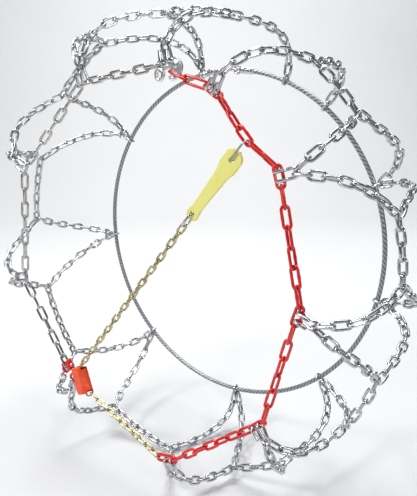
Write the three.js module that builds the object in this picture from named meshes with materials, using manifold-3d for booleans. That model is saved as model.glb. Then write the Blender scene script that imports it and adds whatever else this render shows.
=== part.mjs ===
// Tire snow chains, fitted and tightened on the tyre they are sized for.
// Millimetres. Origin at the wheel's centre, Y along the wheel's axis with the outer face
// towards -Y, +Z up. Every strand of chain is one closed solid with the strand's true outer
// width; hooks, single links, the lock and the tensioner have their real shapes.
import * as THREE from 'three';
import { mergeVertices } from 'three/addons/utils/BufferGeometryUtils.js';
import Module from 'manifold-3d';

const wasm = await Module();
wasm.setup();

// ---------- Driving dimensions ----------

// The line that the strands' centres follow over the tyre: a superellipse about the sidewall.
const STRAND_TREAD_R = 335.5;
const STRAND_SIDE_R = 268;
const STRAND_HALF_WIDTH = 111.5;
const STRAND_ROUNDNESS = 3;

const SIDE_Y = -111;          // plane of the outer side chain
const CABLE_Y = 112.5;        // plane of the inner cable
const CABLE_R = 266;
const CABLE_THICK = 7;

const CROSS_WIDE = 14;        // width across a strand of tread chain
const CROSS_WIRE = 4;
const CROSS_INNER = 16;       // inside length of a tread chain link
const SIDE_WIDE = 12.6;       // width across the side chain
const SIDE_WIRE = 4;
const SIDE_INNER = 23;
const TENSION_WIDE = 10;      // width across the tension chain

const HOOK_WIRE = 4;
const HOOK_HALF_GAP = 5.3;    // from the hook's middle to the centre of each leg
const HOOK_CURL = 4.7;        // radius of the curl's centre line
const HOOK_LEG = 17;
const HOOK_TIP = 11;
const HOOK_LOOP_DEPTH = 0.8;  // how far the loop lies behind the hooked wire

const TREAD_LEAN = -5.1;      // degrees that the tread joints trail the outer corners
const INNER_LEAN = -8;        // and the inner corners
const DIAMOND_REACH = 10.3;   // half of a diamond's length round the tyre, degrees
const END_REACH = 3;          // the same where the net ends
const JOINT_Y = -15;          // how far the tread joints lie from the tyre's middle
const JOINT_GAP = 8.5;         // a strand stops this far short of the joint's centre

// Corners of the net on the outer side, clockwise from the closing hook: where the side
// chain passes, which way the corner's hook points, and which tread joints it is tied to.
const BOTH = [DIAMOND_REACH, -DIAMOND_REACH];
const CORNERS = [
  { x: 69, z: 257, turn: 20, reach: [END_REACH] },
  { x: 135, z: 222, turn: -4, reach: [-END_REACH] },
  { x: 224, z: 129, turn: -14, reach: BOTH },
  { x: 252, z: -25, turn: -14, reach: BOTH },
  { x: 198, z: -176, turn: -8, reach: BOTH },
  { x: 54, z: -274, turn: 0, reach: BOTH },
  { x: -136, z: -207, turn: 4, reach: BOTH },
  { x: -247, z: -56, turn: -6, reach: BOTH },
  { x: -224, z: 120, turn: -6, reach: BOTH },
  { x: -80, z: 240, turn: -6, reach: BOTH },
];
const CLOSING_CORNER = 0;
const END_LINK_CORNER = 5;
const LOCK_CORNER = 6;

// The tension line runs straight from the lock to the red side chain.
const LINE_START = new THREE.Vector3(-115.6, -111.5, -172);
const LINE_ANGLE = 48.5;
const CHAIN_END = 310;        // distances along the line from its start
const SMALL_HOLE = 334.5;
const BIG_HOLE = 423.5;
const HOOK_POINT = 453.5;

// ---------- Materials ----------

function metal(color, roughness, metalness) {
  return new THREE.MeshStandardMaterial({ color, roughness, metalness });
}
const GALVANISED = metal(0xc8ccce, 0.3, 0.9);
const DARK_STEEL = metal(0x8c9094, 0.35, 0.9);
const RED_COAT = metal(0xd81410, 0.3, 0.1);
const LOCK_RED = metal(0xe84a1c, 0.45, 0);
const YELLOW_ZINC = metal(0xcfc28a, 0.35, 0.85);
const STRAP_YELLOW = metal(0xece489, 0.6, 0);
const SHEATH = metal(0x9aa0a4, 0.5, 0.2);

// ---------- Geometry helpers ----------

const assembly = new THREE.Group();

function toRad(degrees) {
  return THREE.MathUtils.degToRad(degrees);
}

// A curve through given points whose parameter steps evenly from point to point.
class Route extends THREE.Curve {
  constructor(points) {
    super();
    this.points = points;
  }

  getUtoTmapping(u) {
    return u;
  }

  getPoint(t, target = new THREE.Vector3()) {
    const place = t * (this.points.length - 1);
    const index = Math.min(Math.floor(place), this.points.length - 2);
    return target.lerpVectors(this.points[index], this.points[index + 1], place - index);
  }

  getTangent(t, target = new THREE.Vector3()) {
    const index = Math.round(t * (this.points.length - 1));
    const before = this.points[Math.max(index - 1, 0)];
    const after = this.points[Math.min(index + 1, this.points.length - 1)];
    return target.subVectors(after, before).normalize();
  }
}

function polygonSection(width, sides) {
  const radius = width / 2;
  const corners = [];
  for (let i = 0; i < sides; i += 1) {
    const angle = (2 * Math.PI * (i + 0.5)) / sides;
    corners.push(new THREE.Vector2(radius * Math.cos(angle), radius * Math.sin(angle)));
  }
  return new THREE.Shape(corners);
}

// Keeps positions only, merges shared vertices and turns the faces outwards. It runs before
// a piece is turned into place, while coincident vertices are still exactly equal.
function asSolid(geometry) {
  if (geometry.userData.solid) return geometry;
  const bare = new THREE.BufferGeometry();
  bare.setAttribute('position', geometry.getAttribute('position').clone());
  if (geometry.index) bare.setIndex(geometry.index.clone());
  const merged = mergeVertices(bare, 1e-3);
  const position = merged.getAttribute('position');
  const index = Array.from(merged.index.array);
  const corner = [new THREE.Vector3(), new THREE.Vector3(), new THREE.Vector3()];
  const kept = [];
  let volume = 0;
  for (let i = 0; i < index.length; i += 3) {
    const face = index.slice(i, i + 3);
    if (new Set(face).size < 3) continue;
    face.forEach((vertex, k) => corner[k].fromBufferAttribute(position, vertex));
    volume += corner[0].dot(corner[1].clone().cross(corner[2])) / 6;
    kept.push(face);
  }
  if (volume < 0) kept.forEach((face) => face.reverse());
  merged.setIndex(kept.flat());
  merged.userData.solid = true;
  return merged;
}

function toManifold(geometry) {
  const solid = asSolid(geometry);
  const mesh = new wasm.Mesh({
    numProp: 3,
    vertProperties: new Float32Array(solid.getAttribute('position').array),
    triVerts: new Uint32Array(solid.index.array),
  });
  return new wasm.Manifold(mesh);
}

function fromManifold(manifold) {
  const mesh = manifold.getMesh();
  const geometry = new THREE.BufferGeometry();
  geometry.setAttribute('position', new THREE.BufferAttribute(mesh.vertProperties, 3));
  geometry.setIndex(Array.from(mesh.triVerts));
  geometry.userData.solid = true;
  return geometry;
}

function join(geometries) {
  const solids = geometries.map(toManifold);
  return fromManifold(solids.reduce((whole, piece) => whole.add(piece)));
}

function cut(geometry, tools) {
  return fromManifold(tools.map(toManifold).reduce((body, tool) => body.subtract(tool), toManifold(geometry)));
}

function addPiece(name, geometry, material) {
  const mesh = new THREE.Mesh(asSolid(geometry), material);
  mesh.name = name;
  assembly.add(mesh);
  return mesh;
}

function tube(points, width, sides = 8) {
  const steps = points.length - 1;
  const extrudePath = new Route(points);
  return asSolid(new THREE.ExtrudeGeometry(polygonSection(width, sides), { steps, extrudePath }));
}

// A frame whose X and Y axes are given; Z is their cross product.
function frameAt(origin, xAxis, yAxis) {
  const zAxis = new THREE.Vector3().crossVectors(xAxis, yAxis);
  return new THREE.Matrix4().makeBasis(xAxis, yAxis, zAxis).setPosition(origin);
}

function inWheelPlane(angle) {
  return new THREE.Vector3(Math.cos(toRad(angle)), 0, Math.sin(toRad(angle)));
}

function stadium(shape, halfStraight, radius) {
  shape.absarc(halfStraight, 0, radius, -Math.PI / 2, Math.PI / 2, false);
  shape.absarc(-halfStraight, 0, radius, Math.PI / 2, (3 * Math.PI) / 2, false);
  shape.closePath();
  return shape;
}

// A chain link along X, flat in XY, centred on the origin.
function linkGeometry(innerLength, outerWidth, wire, curveSegments = 2) {
  const inside = outerWidth / 2 - wire;
  const halfStraight = innerLength / 2 - inside;
  const shape = stadium(new THREE.Shape(), halfStraight, outerWidth / 2);
  shape.holes.push(stadium(new THREE.Path(), halfStraight, inside));
  const bevel = wire * 0.29;
  const geometry = new THREE.ExtrudeGeometry(shape, {
    depth: wire - 2 * bevel,
    bevelThickness: bevel,
    bevelSize: bevel,
    bevelOffset: -bevel,
    bevelSegments: 1,
    curveSegments,
  });
  return asSolid(geometry).translate(0, 0, -wire / 2 + bevel);
}

function plate(outline, thickness, bevel) {
  const geometry = new THREE.ExtrudeGeometry(new THREE.Shape(outline), {
    depth: thickness - 2 * bevel,
    bevelThickness: bevel,
    bevelSize: bevel,
    bevelOffset: -bevel,
    bevelSegments: 1,
  });
  return asSolid(geometry).translate(0, 0, -thickness / 2 + bevel);
}

// ---------- Corners of the net ----------

const OUTWARDS = new THREE.Vector3(0, -1, 0);

for (const corner of CORNERS) {
  corner.angle = THREE.MathUtils.radToDeg(Math.atan2(corner.z, corner.x));
  corner.point = new THREE.Vector3(corner.x, SIDE_Y, corner.z);
  corner.radial = inWheelPlane(corner.angle);
  corner.clockwise = inWheelPlane(corner.angle - 90);
  // The hook points along hookWay; the link it holds lies across it.
  corner.hookWay = inWheelPlane(corner.angle + corner.turn);
  corner.hookAcross = inWheelPlane(corner.angle + corner.turn - 90);
  const wireOffset = SIDE_WIDE / 2 - SIDE_WIRE / 2;
  corner.hookedWire = corner.point.clone().addScaledVector(corner.hookWay, wireOffset);
}

// ---------- Strands over the tyre ----------

// Radius and distance from the tyre's middle at a point of the superellipse.
function meridian(phi) {
  const power = 2 / STRAND_ROUNDNESS;
  const across = Math.sign(phi) * Math.abs(Math.sin(phi)) ** power * STRAND_HALF_WIDTH;
  const height = Math.cos(phi) ** power * (STRAND_TREAD_R - STRAND_SIDE_R);
  return { across, radius: STRAND_SIDE_R + height };
}

function phiAtRadius(radius) {
  const share = Math.max(radius - STRAND_SIDE_R, 0) / (STRAND_TREAD_R - STRAND_SIDE_R);
  return Math.acos(share ** (STRAND_ROUNDNESS / 2));
}

function phiAcross(across) {
  const share = Math.abs(across) / STRAND_HALF_WIDTH;
  return Math.sign(across) * Math.asin(share ** (STRAND_ROUNDNESS / 2));
}

function angleOf(point) {
  return THREE.MathUtils.radToDeg(Math.atan2(point.z, point.x));
}

function wheelPoint(radius, y, angle) {
  return inWheelPlane(angle).multiplyScalar(radius).setY(y);
}

function cumulative(points) {
  const lengths = [0];
  for (let i = 1; i < points.length; i += 1) {
    lengths.push(lengths[i - 1] + points[i].distanceTo(points[i - 1]));
  }
  return lengths;
}

// Points at even steps along a dense polyline, leaving out a length at each end.
function resample(points, count, skipStart, skipEnd) {
  const lengths = cumulative(points);
  const total = lengths[lengths.length - 1];
  const result = [];
  for (let i = 0; i < count; i += 1) {
    const wanted = skipStart + ((total - skipStart - skipEnd) * i) / (count - 1);
    let k = 1;
    while (k < points.length - 1 && lengths[k] < wanted) k += 1;
    const share = (wanted - lengths[k - 1]) / (lengths[k] - lengths[k - 1]);
    result.push(new THREE.Vector3().lerpVectors(points[k - 1], points[k], share));
  }
  return result;
}

// From the sidewall on one side, over the shoulder, to a joint on the tread.
function armPath(side, startRadius, startAngle, jointAngle) {
  const samples = 120;
  const from = phiAtRadius(startRadius);
  const to = phiAcross(side * JOINT_Y);
  const flat = [];
  for (let i = 0; i <= samples; i += 1) {
    const { across, radius } = meridian(from + ((to - from) * i) / samples);
    flat.push(new THREE.Vector3(0, side * across, radius));
  }
  const lengths = cumulative(flat);
  const total = lengths[samples];
  return flat.map((point, i) => {
    const angle = startAngle + ((jointAngle - startAngle) * lengths[i]) / total;
    return wheelPoint(point.z, point.y, angle);
  });
}

function jointAngle(corner, reach) {
  return corner.angle + TREAD_LEAN + reach;
}

const ARM_STEPS = 6;

// ---------- Cross chain hooks ----------

// A hairpin of wire: X across it, Y the way it points, Z out of the wheel's face.
function hookPoints() {
  const half = [new THREE.Vector3(-HOOK_HALF_GAP, HOOK_TIP, HOOK_CURL)];
  for (let i = 0; i <= 3; i += 1) {
    const turn = (Math.PI * i) / 3;
    half.push(new THREE.Vector3(-HOOK_HALF_GAP, -HOOK_CURL * Math.sin(turn), HOOK_CURL * Math.cos(turn)));
  }
  for (let i = 0; i <= 2; i += 1) {
    const turn = (Math.PI * i) / 6;
    const x = -HOOK_HALF_GAP * Math.cos(turn);
    half.push(new THREE.Vector3(x, HOOK_LEG + HOOK_HALF_GAP * Math.sin(turn), -HOOK_LOOP_DEPTH));
  }
  const top = new THREE.Vector3(0, HOOK_LEG + HOOK_HALF_GAP, -HOOK_LOOP_DEPTH);
  const mirrored = half.map((point) => new THREE.Vector3(-point.x, point.y, point.z)).reverse();
  return [...half, top, ...mirrored];
}

const LOOP_TOP = HOOK_LEG + HOOK_HALF_GAP;

CORNERS.forEach((corner, i) => {
  // The hook leans in where the tyre's shoulder falls away behind its loop.
  const flat = corner.hookedWire.clone().addScaledVector(corner.hookWay, LOOP_TOP);
  const surface = -meridian(phiAtRadius(Math.hypot(flat.x, flat.z))).across;
  const lean = Math.max(Math.atan2(surface - SIDE_Y - HOOK_LOOP_DEPTH, LOOP_TOP), 0);
  const leaningWay = corner.hookWay.clone().multiplyScalar(Math.cos(lean)).setY(Math.sin(lean));
  const frame = frameAt(corner.hookedWire, corner.hookAcross, leaningWay);
  corner.loopTop = new THREE.Vector3(0, LOOP_TOP, -HOOK_LOOP_DEPTH).applyMatrix4(frame);
  addPiece(`cross_hook_${i + 1}`, tube(hookPoints(), HOOK_WIRE, 6).applyMatrix4(frame), GALVANISED);
});

// ---------- Cross chains ----------

const ARM_SIDES = 6;
const SLACK = 0.7;            // play between a hook's wire and the link it holds

CORNERS.forEach((corner, i) => {
  // The first link stands across the hook's loop and points up the sidewall.
  const loopRadius = Math.hypot(corner.loopTop.x, corner.loopTop.z);
  const loopAngle = angleOf(corner.loopTop);
  const start = resample(armPath(-1, loopRadius, loopAngle, loopAngle), 2, CROSS_INNER, 0)[0];
  const linkWay = start.clone().sub(corner.loopTop).normalize();
  linkWay.addScaledVector(corner.hookAcross, -0.6 * linkWay.dot(corner.hookAcross)).normalize();
  const middle = CROSS_INNER / 2 - HOOK_WIRE / 2 - SLACK;
  const linkMiddle = corner.loopTop.clone().addScaledVector(linkWay, middle);
  const linkEnd = linkMiddle.clone().addScaledVector(linkWay, CROSS_INNER / 2 + CROSS_WIRE / 2);
  const linkUp = OUTWARDS.clone().addScaledVector(linkWay, -OUTWARDS.dot(linkWay)).normalize();
  const firstLink = linkGeometry(CROSS_INNER, CROSS_WIDE, CROSS_WIRE);
  const pieces = [firstLink.applyMatrix4(frameAt(linkMiddle, linkWay, linkUp))];
  for (const reach of corner.reach) {
    const path = armPath(-1, Math.hypot(start.x, start.z), angleOf(start), jointAngle(corner, reach));
    const points = resample([linkEnd, ...path.slice(4)], ARM_STEPS, 0, JOINT_GAP);
    pieces.push(tube(points, CROSS_WIDE, ARM_SIDES));
  }
  addPiece(`outer_cross_chain_${i + 1}`, join(pieces), GALVANISED);
});

const RING_WIRE = 3.5;
const RING_R = CABLE_THICK / 2 + 1 + RING_WIRE / 2;

CORNERS.forEach((corner, i) => {
  // A ring round the cable carries the arms on the inner side.
  const angle = corner.angle + INNER_LEAN;
  const centre = wheelPoint(CABLE_R, CABLE_Y, angle);
  const ring = asSolid(new THREE.TorusGeometry(RING_R, RING_WIRE / 2, 5, 12));
  const pieces = [ring.applyMatrix4(frameAt(centre, inWheelPlane(angle), OUTWARDS))];
  const startRadius = CABLE_R + RING_R + RING_WIRE / 2 + 1;
  const neck = [wheelPoint(CABLE_R + RING_R, CABLE_Y, angle), wheelPoint(startRadius + 6, CABLE_Y - 0.5, angle)];
  pieces.push(tube(neck, CROSS_WIRE + 2, ARM_SIDES));
  for (const reach of corner.reach) {
    const path = armPath(1, startRadius + 2, angle, jointAngle(corner, reach));
    pieces.push(tube(resample(path, ARM_STEPS, 0, JOINT_GAP), CROSS_WIDE, ARM_SIDES));
  }
  addPiece(`inner_cross_chain_${i + 1}`, join(pieces), GALVANISED);
});

// ---------- Tread chains ----------

const tread = meridian(phiAcross(JOINT_Y));

for (let i = 1; i < CORNERS.length; i += 1) {
  const corner = CORNERS[i];
  const next = CORNERS[(i + 1) % CORNERS.length];
  const from = jointAngle(corner, Math.min(...corner.reach));
  let to = jointAngle(next, Math.max(...next.reach));
  if (to > from) to -= 360;
  const path = [];
  for (let k = 0; k <= 40; k += 1) {
    path.push(wheelPoint(tread.radius, JOINT_Y, from + ((to - from) * k) / 40));
  }
  addPiece(`tread_chain_${i}`, tube(resample(path, 5, JOINT_GAP, JOINT_GAP), CROSS_WIDE, ARM_SIDES), GALVANISED);
}

// ---------- Side chains ----------

const SIDE_HALF = SIDE_INNER / 2 + SIDE_WIRE;

function sideLink(point, along) {
  const across = new THREE.Vector3().crossVectors(OUTWARDS, along);
  return linkGeometry(SIDE_INNER, SIDE_WIDE, SIDE_WIRE).applyMatrix4(frameAt(point, along, across));
}

// Straight runs between the given stops; a stop with along set is a link lying flat.
function sideChain(stops) {
  const pieces = [];
  for (const stop of stops) {
    if (stop.along) pieces.push(sideLink(stop.point, stop.along));
  }
  for (let i = 0; i + 1 < stops.length; i += 1) {
    const ends = [stops[i], stops[i + 1]].map((stop, k) => {
      const end = stop.point.clone();
      const reach = (k === 0 ? 1 : -1) * (SIDE_HALF - SIDE_WIRE / 2);
      return stop.along ? end.addScaledVector(stop.along, reach) : end;
    });
    pieces.push(tube(ends, SIDE_WIDE));
  }
  return join(pieces);
}

function cornerStop(index) {
  const corner = CORNERS[index];
  return { point: corner.point, along: corner.hookAcross };
}

const lineWay = inWheelPlane(LINE_ANGLE);

function onLine(distance) {
  return LINE_START.clone().addScaledVector(lineWay, distance);
}

// The red link that the strap's hook catches, just short of its lower end.
const HOOKED_AWAY = 6;
const caughtWay = new THREE.Vector3(0.667, 0, -0.745).normalize();
const caughtPoint = onLine(HOOK_POINT + 0.8).setY(SIDE_Y).addScaledVector(caughtWay, -HOOKED_AWAY);

// The last link of each chain at the closing hook, and where the lock and the end link start.
const CLOSING_LINK = new THREE.Vector3(87, SIDE_Y, 243);
const EYE_CENTRE = new THREE.Vector3(58, SIDE_Y, 245);
const LOCK_EARS = new THREE.Vector3(-152.5, SIDE_Y, -189);
const closingWay = new THREE.Vector3().subVectors(CORNERS[1].point, CLOSING_LINK).normalize();
const closingLink = linkGeometry(SIDE_INNER, SIDE_WIDE, SIDE_WIRE).applyMatrix4(
  frameAt(CLOSING_LINK, closingWay, OUTWARDS),
);
const closingLinkEnd = CLOSING_LINK.clone().addScaledVector(closingWay, SIDE_HALF - SIDE_WIRE / 2);

const endLinkWay = CORNERS[END_LINK_CORNER].hookAcross;
const endLinkPoint = CORNERS[END_LINK_CORNER].point;
const END_LINK_EXTRA = 8;      // how much longer the end link is than the side chain's links
const redEnd = endLinkPoint.clone().addScaledVector(endLinkWay, -SIDE_HALF - 0.5);

const redSide = sideChain([
  { point: closingLinkEnd },
  cornerStop(1),
  { point: caughtPoint, along: caughtWay },
  cornerStop(2),
  cornerStop(3),
  cornerStop(4),
  { point: redEnd },
]);
addPiece('red_side_chain', join([redSide, closingLink]), RED_COAT);

const silverStart = EYE_CENTRE.clone().add(new THREE.Vector3(-6.5, 0, 9.5));
const silverWay = new THREE.Vector3().subVectors(LOCK_EARS, CORNERS[7].point).normalize();
const pinLinkMiddle = LOCK_EARS.clone().addScaledVector(silverWay, 2.6 - SIDE_INNER / 2);
const pinLinkEnd = pinLinkMiddle.clone().addScaledVector(silverWay, SIDE_WIRE / 2 - SIDE_HALF);
const pinLink = linkGeometry(SIDE_INNER, SIDE_WIDE, SIDE_WIRE).applyMatrix4(
  frameAt(pinLinkMiddle, silverWay, OUTWARDS),
);
const silverSide = sideChain([
  { point: pinLinkEnd },
  cornerStop(7),
  cornerStop(8),
  cornerStop(9),
  { point: silverStart },
]);
addPiece('silver_side_chain', join([silverSide, pinLink]), GALVANISED);

const endLinkMiddle = endLinkPoint.clone().addScaledVector(endLinkWay, END_LINK_EXTRA / 2);
addPiece('red_end_link', linkGeometry(SIDE_INNER + END_LINK_EXTRA, SIDE_WIDE, SIDE_WIRE).applyMatrix4(
  frameAt(endLinkMiddle, endLinkWay, new THREE.Vector3().crossVectors(OUTWARDS, endLinkWay)),
), RED_COAT);

// ---------- Closing hook ----------

// A forged plate with an eye for the silver chain, a ring for the cross chain's hook, and a
// nose under the throat that holds the red chain's last link.
const CLOSING_OUTLINE = [
  [54, 251], [62, 252.5], [77.5, 253.5], [79, 260], [83, 265.5], [88.5, 262], [93.5, 255], [93, 247],
  [88, 241], [81, 237.5], [75, 238.5], [73.5, 242], [77, 244.5], [78.6, 247.5], [76.5, 250.8],
  [70, 249.8], [66, 248], [60, 247],
];
const CLOSING_THICK = 4;
const NOSE = new THREE.Vector3(79.5, SIDE_Y, 239.6);

function wheelPlate(outline, thickness, bevel) {
  const points = outline.map(([x, z]) => new THREE.Vector2(x, z));
  const frame = frameAt(new THREE.Vector3(0, SIDE_Y, 0), new THREE.Vector3(1, 0, 0), new THREE.Vector3(0, 0, 1));
  return plate(points, thickness, bevel).applyMatrix4(frame);
}

const facing = frameAt(EYE_CENTRE, new THREE.Vector3(1, 0, 0), new THREE.Vector3(0, 0, 1));
const noseBall = asSolid(new THREE.SphereGeometry(1, 10, 6)).scale(6.5, 4, 3.2);
addPiece('closing_hook', join([
  wheelPlate(CLOSING_OUTLINE, CLOSING_THICK, 0.8),
  asSolid(new THREE.TorusGeometry(5, 2, 6, 12)).applyMatrix4(facing),
  noseBall.translate(NOSE.x, NOSE.y, NOSE.z),
  sideLink(CORNERS[CLOSING_CORNER].point, CORNERS[CLOSING_CORNER].hookAcross),
]), GALVANISED);

// ---------- Tension line ----------

const lineUp = inWheelPlane(LINE_ANGLE + 90);
const TENSION_WIRE = 3;
const TENSION_LINK_INNER = 20;
const TENSION_LINK_WIDE = 15.5;

addPiece('tension_chain_upper', tube([onLine(1), onLine(CHAIN_END)], TENSION_WIDE), YELLOW_ZINC);

const linkMiddle = onLine(SMALL_HOLE - TENSION_LINK_INNER / 2 - 1);
addPiece('tension_link', linkGeometry(TENSION_LINK_INNER, TENSION_LINK_WIDE, TENSION_WIRE).applyMatrix4(
  frameAt(linkMiddle, lineWay, OUTWARDS),
), GALVANISED);

const STRAP_THICK = 5;
const STRAP_HOLE_R = 3.2;
const SMALL_END_R = 8.8;
const NECK_HALF = 7;
const SHOULDER_HALF = 10.6;
const BIG_HALF = 12.3;
const BIG_CORNER_R = 9.5;
const BIG_CORNER_X = 3.6;     // the big end's corner arcs, beyond its hole

// X runs along the strap from the small hole, Y across it.
function strapOutline() {
  const length = BIG_HOLE - SMALL_HOLE;
  const cornerY = BIG_HALF - BIG_CORNER_R;
  const shape = new THREE.Shape();
  shape.absarc(0, 0, SMALL_END_R, toRad(55), toRad(305), false);
  shape.lineTo(length * 0.16, -NECK_HALF);
  shape.lineTo(length * 0.76, -SHOULDER_HALF);
  shape.lineTo(length * 0.84, -BIG_HALF);
  shape.absarc(length + BIG_CORNER_X, -cornerY, BIG_CORNER_R, -Math.PI / 2, 0, false);
  shape.absarc(length + BIG_CORNER_X, cornerY, BIG_CORNER_R, 0, Math.PI / 2, false);
  shape.lineTo(length * 0.84, BIG_HALF);
  shape.lineTo(length * 0.76, SHOULDER_HALF);
  shape.lineTo(length * 0.16, NECK_HALF);
  shape.closePath();
  for (const x of [0, length]) {
    shape.holes.push(new THREE.Path().absarc(x, 0, STRAP_HOLE_R, 0, 2 * Math.PI, true));
  }
  return shape;
}

const STRAP_BEVEL = 0.8;
const strapBody = asSolid(new THREE.ExtrudeGeometry(strapOutline(), {
  depth: STRAP_THICK - 2 * STRAP_BEVEL,
  bevelThickness: STRAP_BEVEL,
  bevelSize: STRAP_BEVEL,
  bevelOffset: -STRAP_BEVEL,
  bevelSegments: 1,
  curveSegments: 5,
})).translate(0, 0, -STRAP_THICK / 2 + STRAP_BEVEL);
const alongStrap = frameAt(onLine(SMALL_HOLE), lineWay, lineUp);
addPiece('tension_strap', strapBody.applyMatrix4(alongStrap), STRAP_YELLOW);

// The hook's wire lies under the strap, comes up through the big hole, runs over the strap
// and the red link's near wire, and turns down into the link. X along the line, Z outwards.
const STRAP_HOOK_WIRE = 2.6;
const STRAP_HOOK_LIFT = STRAP_THICK / 2 + STRAP_HOOK_WIRE / 2 + 0.4;
const hookTipX = HOOK_POINT - BIG_HOLE;
const strapHookPath = [
  [11, -STRAP_HOOK_LIFT - 2.4], [3, -STRAP_HOOK_LIFT - 0.4], [0.8, -STRAP_HOOK_LIFT * 0.8], [0, -1], [0, 1],
  [0.8, STRAP_HOOK_LIFT * 0.75], [3, STRAP_HOOK_LIFT], [hookTipX - 7, STRAP_HOOK_LIFT + 0.6],
  [hookTipX - 3, STRAP_HOOK_LIFT + 0.3], [hookTipX - 0.8, STRAP_HOOK_LIFT * 0.6],
  [hookTipX, 0], [hookTipX + 0.2, -4],
].map(([x, z]) => new THREE.Vector3(x, 0, z));
const alongHook = frameAt(onLine(BIG_HOLE), lineWay, lineUp);
addPiece('strap_hook', tube(strapHookPath, STRAP_HOOK_WIRE, 6).applyMatrix4(alongHook), GALVANISED);

// ---------- Lock ----------

// The lock's own frame: X across its cover, Y up its length, Z out of the wheel's face.
const LOCK_ANGLE = 19;
const LOCK_CENTRE = new THREE.Vector3(-118, SIDE_Y, -200);
const lockFrame = frameAt(LOCK_CENTRE, inWheelPlane(LOCK_ANGLE), inWheelPlane(LOCK_ANGLE + 90));
const COVER_WIDE = 22;
const COVER_LONG = 42;
const COVER_HIGH = 14;
const COVER_WALL = 1.8;
const COVER_FOOT = -2.6;      // the cover's rim, from the side chain's plane
const BASE_TOP = -3;
const BASE_THICK = 2;

function coverSolid(inset) {
  const half = COVER_WIDE / 2 - inset;
  const rise = COVER_HIGH - inset;
  const section = new THREE.Shape([
    new THREE.Vector2(-half, 0),
    new THREE.Vector2(half, 0),
    new THREE.Vector2(half, rise * 0.3),
    new THREE.Vector2(half * 0.55, rise),
    new THREE.Vector2(-half * 0.86, rise * 0.94),
    new THREE.Vector2(-half, rise * 0.8),
  ]);
  const long = COVER_LONG - 2 * inset;
  const prism = asSolid(new THREE.ExtrudeGeometry(section, { depth: long, bevelEnabled: false }));
  return prism.translate(0, 0, -long / 2).rotateX(Math.PI / 2);
}

function block(x, y, z, wide, long, high) {
  return asSolid(new THREE.BoxGeometry(wide, long, high)).translate(x, y, z);
}

// A round bar along Z.
function bar(x, y, radius, from, to, sides = 10) {
  const cylinder = asSolid(new THREE.CylinderGeometry(radius, radius, to - from, sides));
  return cylinder.rotateX(Math.PI / 2).translate(x, y, (from + to) / 2);
}

// A ring about Z with a square section.
function washer(x, y, inner, outer, from, to, segments = 12) {
  const profile = [
    new THREE.Vector2(inner, from),
    new THREE.Vector2(outer, from),
    new THREE.Vector2(outer, to),
    new THREE.Vector2(inner, to),
    new THREE.Vector2(inner, from),
  ];
  return asSolid(new THREE.LatheGeometry(profile, segments)).rotateX(Math.PI / 2).translate(x, y, 0);
}

const coverShell = cut(coverSolid(0), [
  coverSolid(COVER_WALL).translate(0, 0, -0.5),
  block(9, COVER_LONG / 2, 2, 14, 9, 13),
  block(9, -COVER_LONG / 2, 2, 14, 9, 13),
  block(-COVER_WIDE / 2, -4.5, 0, 8, 30, 12),
]);
addPiece('lock_cover', coverShell.translate(0, 0, COVER_FOOT).applyMatrix4(lockFrame), LOCK_RED);

const ROLLER = { x: 0.5, y: -1, radius: 5, bore: 2.2, from: -2.4, to: 3.8 };
const PAWL = { x: -5.5, y: 10, bore: 1.9, from: -2.4, to: 0.2 };
const PIN_GAP = 0.35;

const earAxis = new THREE.Vector3().crossVectors(OUTWARDS, silverWay);
const earFrame = frameAt(LOCK_EARS, silverWay, earAxis);
const EAR_R = 6.5;
const EAR_OFFSET = 7;
const EAR_THICK = 4;

function ear(side) {
  const disc = asSolid(new THREE.CylinderGeometry(EAR_R, EAR_R, EAR_THICK, 12));
  const arm = block(4.8, side * EAR_OFFSET, -0.5, 9.6, EAR_THICK, 9);
  return join([disc.translate(0, side * EAR_OFFSET, 0), arm]).applyMatrix4(earFrame);
}

const earPin = asSolid(new THREE.CylinderGeometry(2, 2, 2 * EAR_OFFSET, 8)).applyMatrix4(earFrame);
const yoke = block(9, 0, -1, 3, 2 * EAR_OFFSET + EAR_THICK, 8).applyMatrix4(earFrame);
const basePlate = cut(block(0, -1, BASE_TOP - BASE_THICK / 2, 20, 40, BASE_THICK), [
  bar(ROLLER.x, ROLLER.y, ROLLER.bore, -8, 0),
  bar(PAWL.x, PAWL.y, PAWL.bore, -8, 0),
]);
const bail = tube([
  new THREE.Vector3(-8, -17, BASE_TOP - 1.3),
  new THREE.Vector3(-8, -23, BASE_TOP - 1.3),
  new THREE.Vector3(-7, -26, BASE_TOP + 0.5),
  new THREE.Vector3(0, -27.5, BASE_TOP + 1.5),
  new THREE.Vector3(7, -26, BASE_TOP + 0.5),
  new THREE.Vector3(8, -23, BASE_TOP - 1.3),
  new THREE.Vector3(8, -17, BASE_TOP - 1.3),
], 3, 6);
const bridge = block(-16, 16, BASE_TOP - BASE_THICK / 2, 16, 6, BASE_THICK);
const linkRest = block(-9, -12, -2, 7, 7, 5);
addPiece('lock_body', join([
  join([basePlate, bail, bridge, linkRest]).applyMatrix4(lockFrame),
  ear(-1),
  ear(1),
  earPin,
  yoke,
  sideLink(CORNERS[LOCK_CORNER].point, CORNERS[LOCK_CORNER].hookAcross),
]), RED_COAT);

const rollerProfile = [
  [ROLLER.bore, ROLLER.from], [ROLLER.radius, ROLLER.from], [ROLLER.radius, ROLLER.from + 1],
  [ROLLER.radius - 1.8, ROLLER.from + 2.6], [ROLLER.radius - 1.8, ROLLER.to - 2.6],
  [ROLLER.radius, ROLLER.to - 1], [ROLLER.radius, ROLLER.to], [ROLLER.bore, ROLLER.to],
  [ROLLER.bore, ROLLER.from],
].map(([x, y]) => new THREE.Vector2(x, y));
const roller = asSolid(new THREE.LatheGeometry(rollerProfile, 14)).rotateX(Math.PI / 2);
addPiece('lock_roller', roller.translate(ROLLER.x, ROLLER.y, 0).applyMatrix4(lockFrame), DARK_STEEL);

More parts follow.
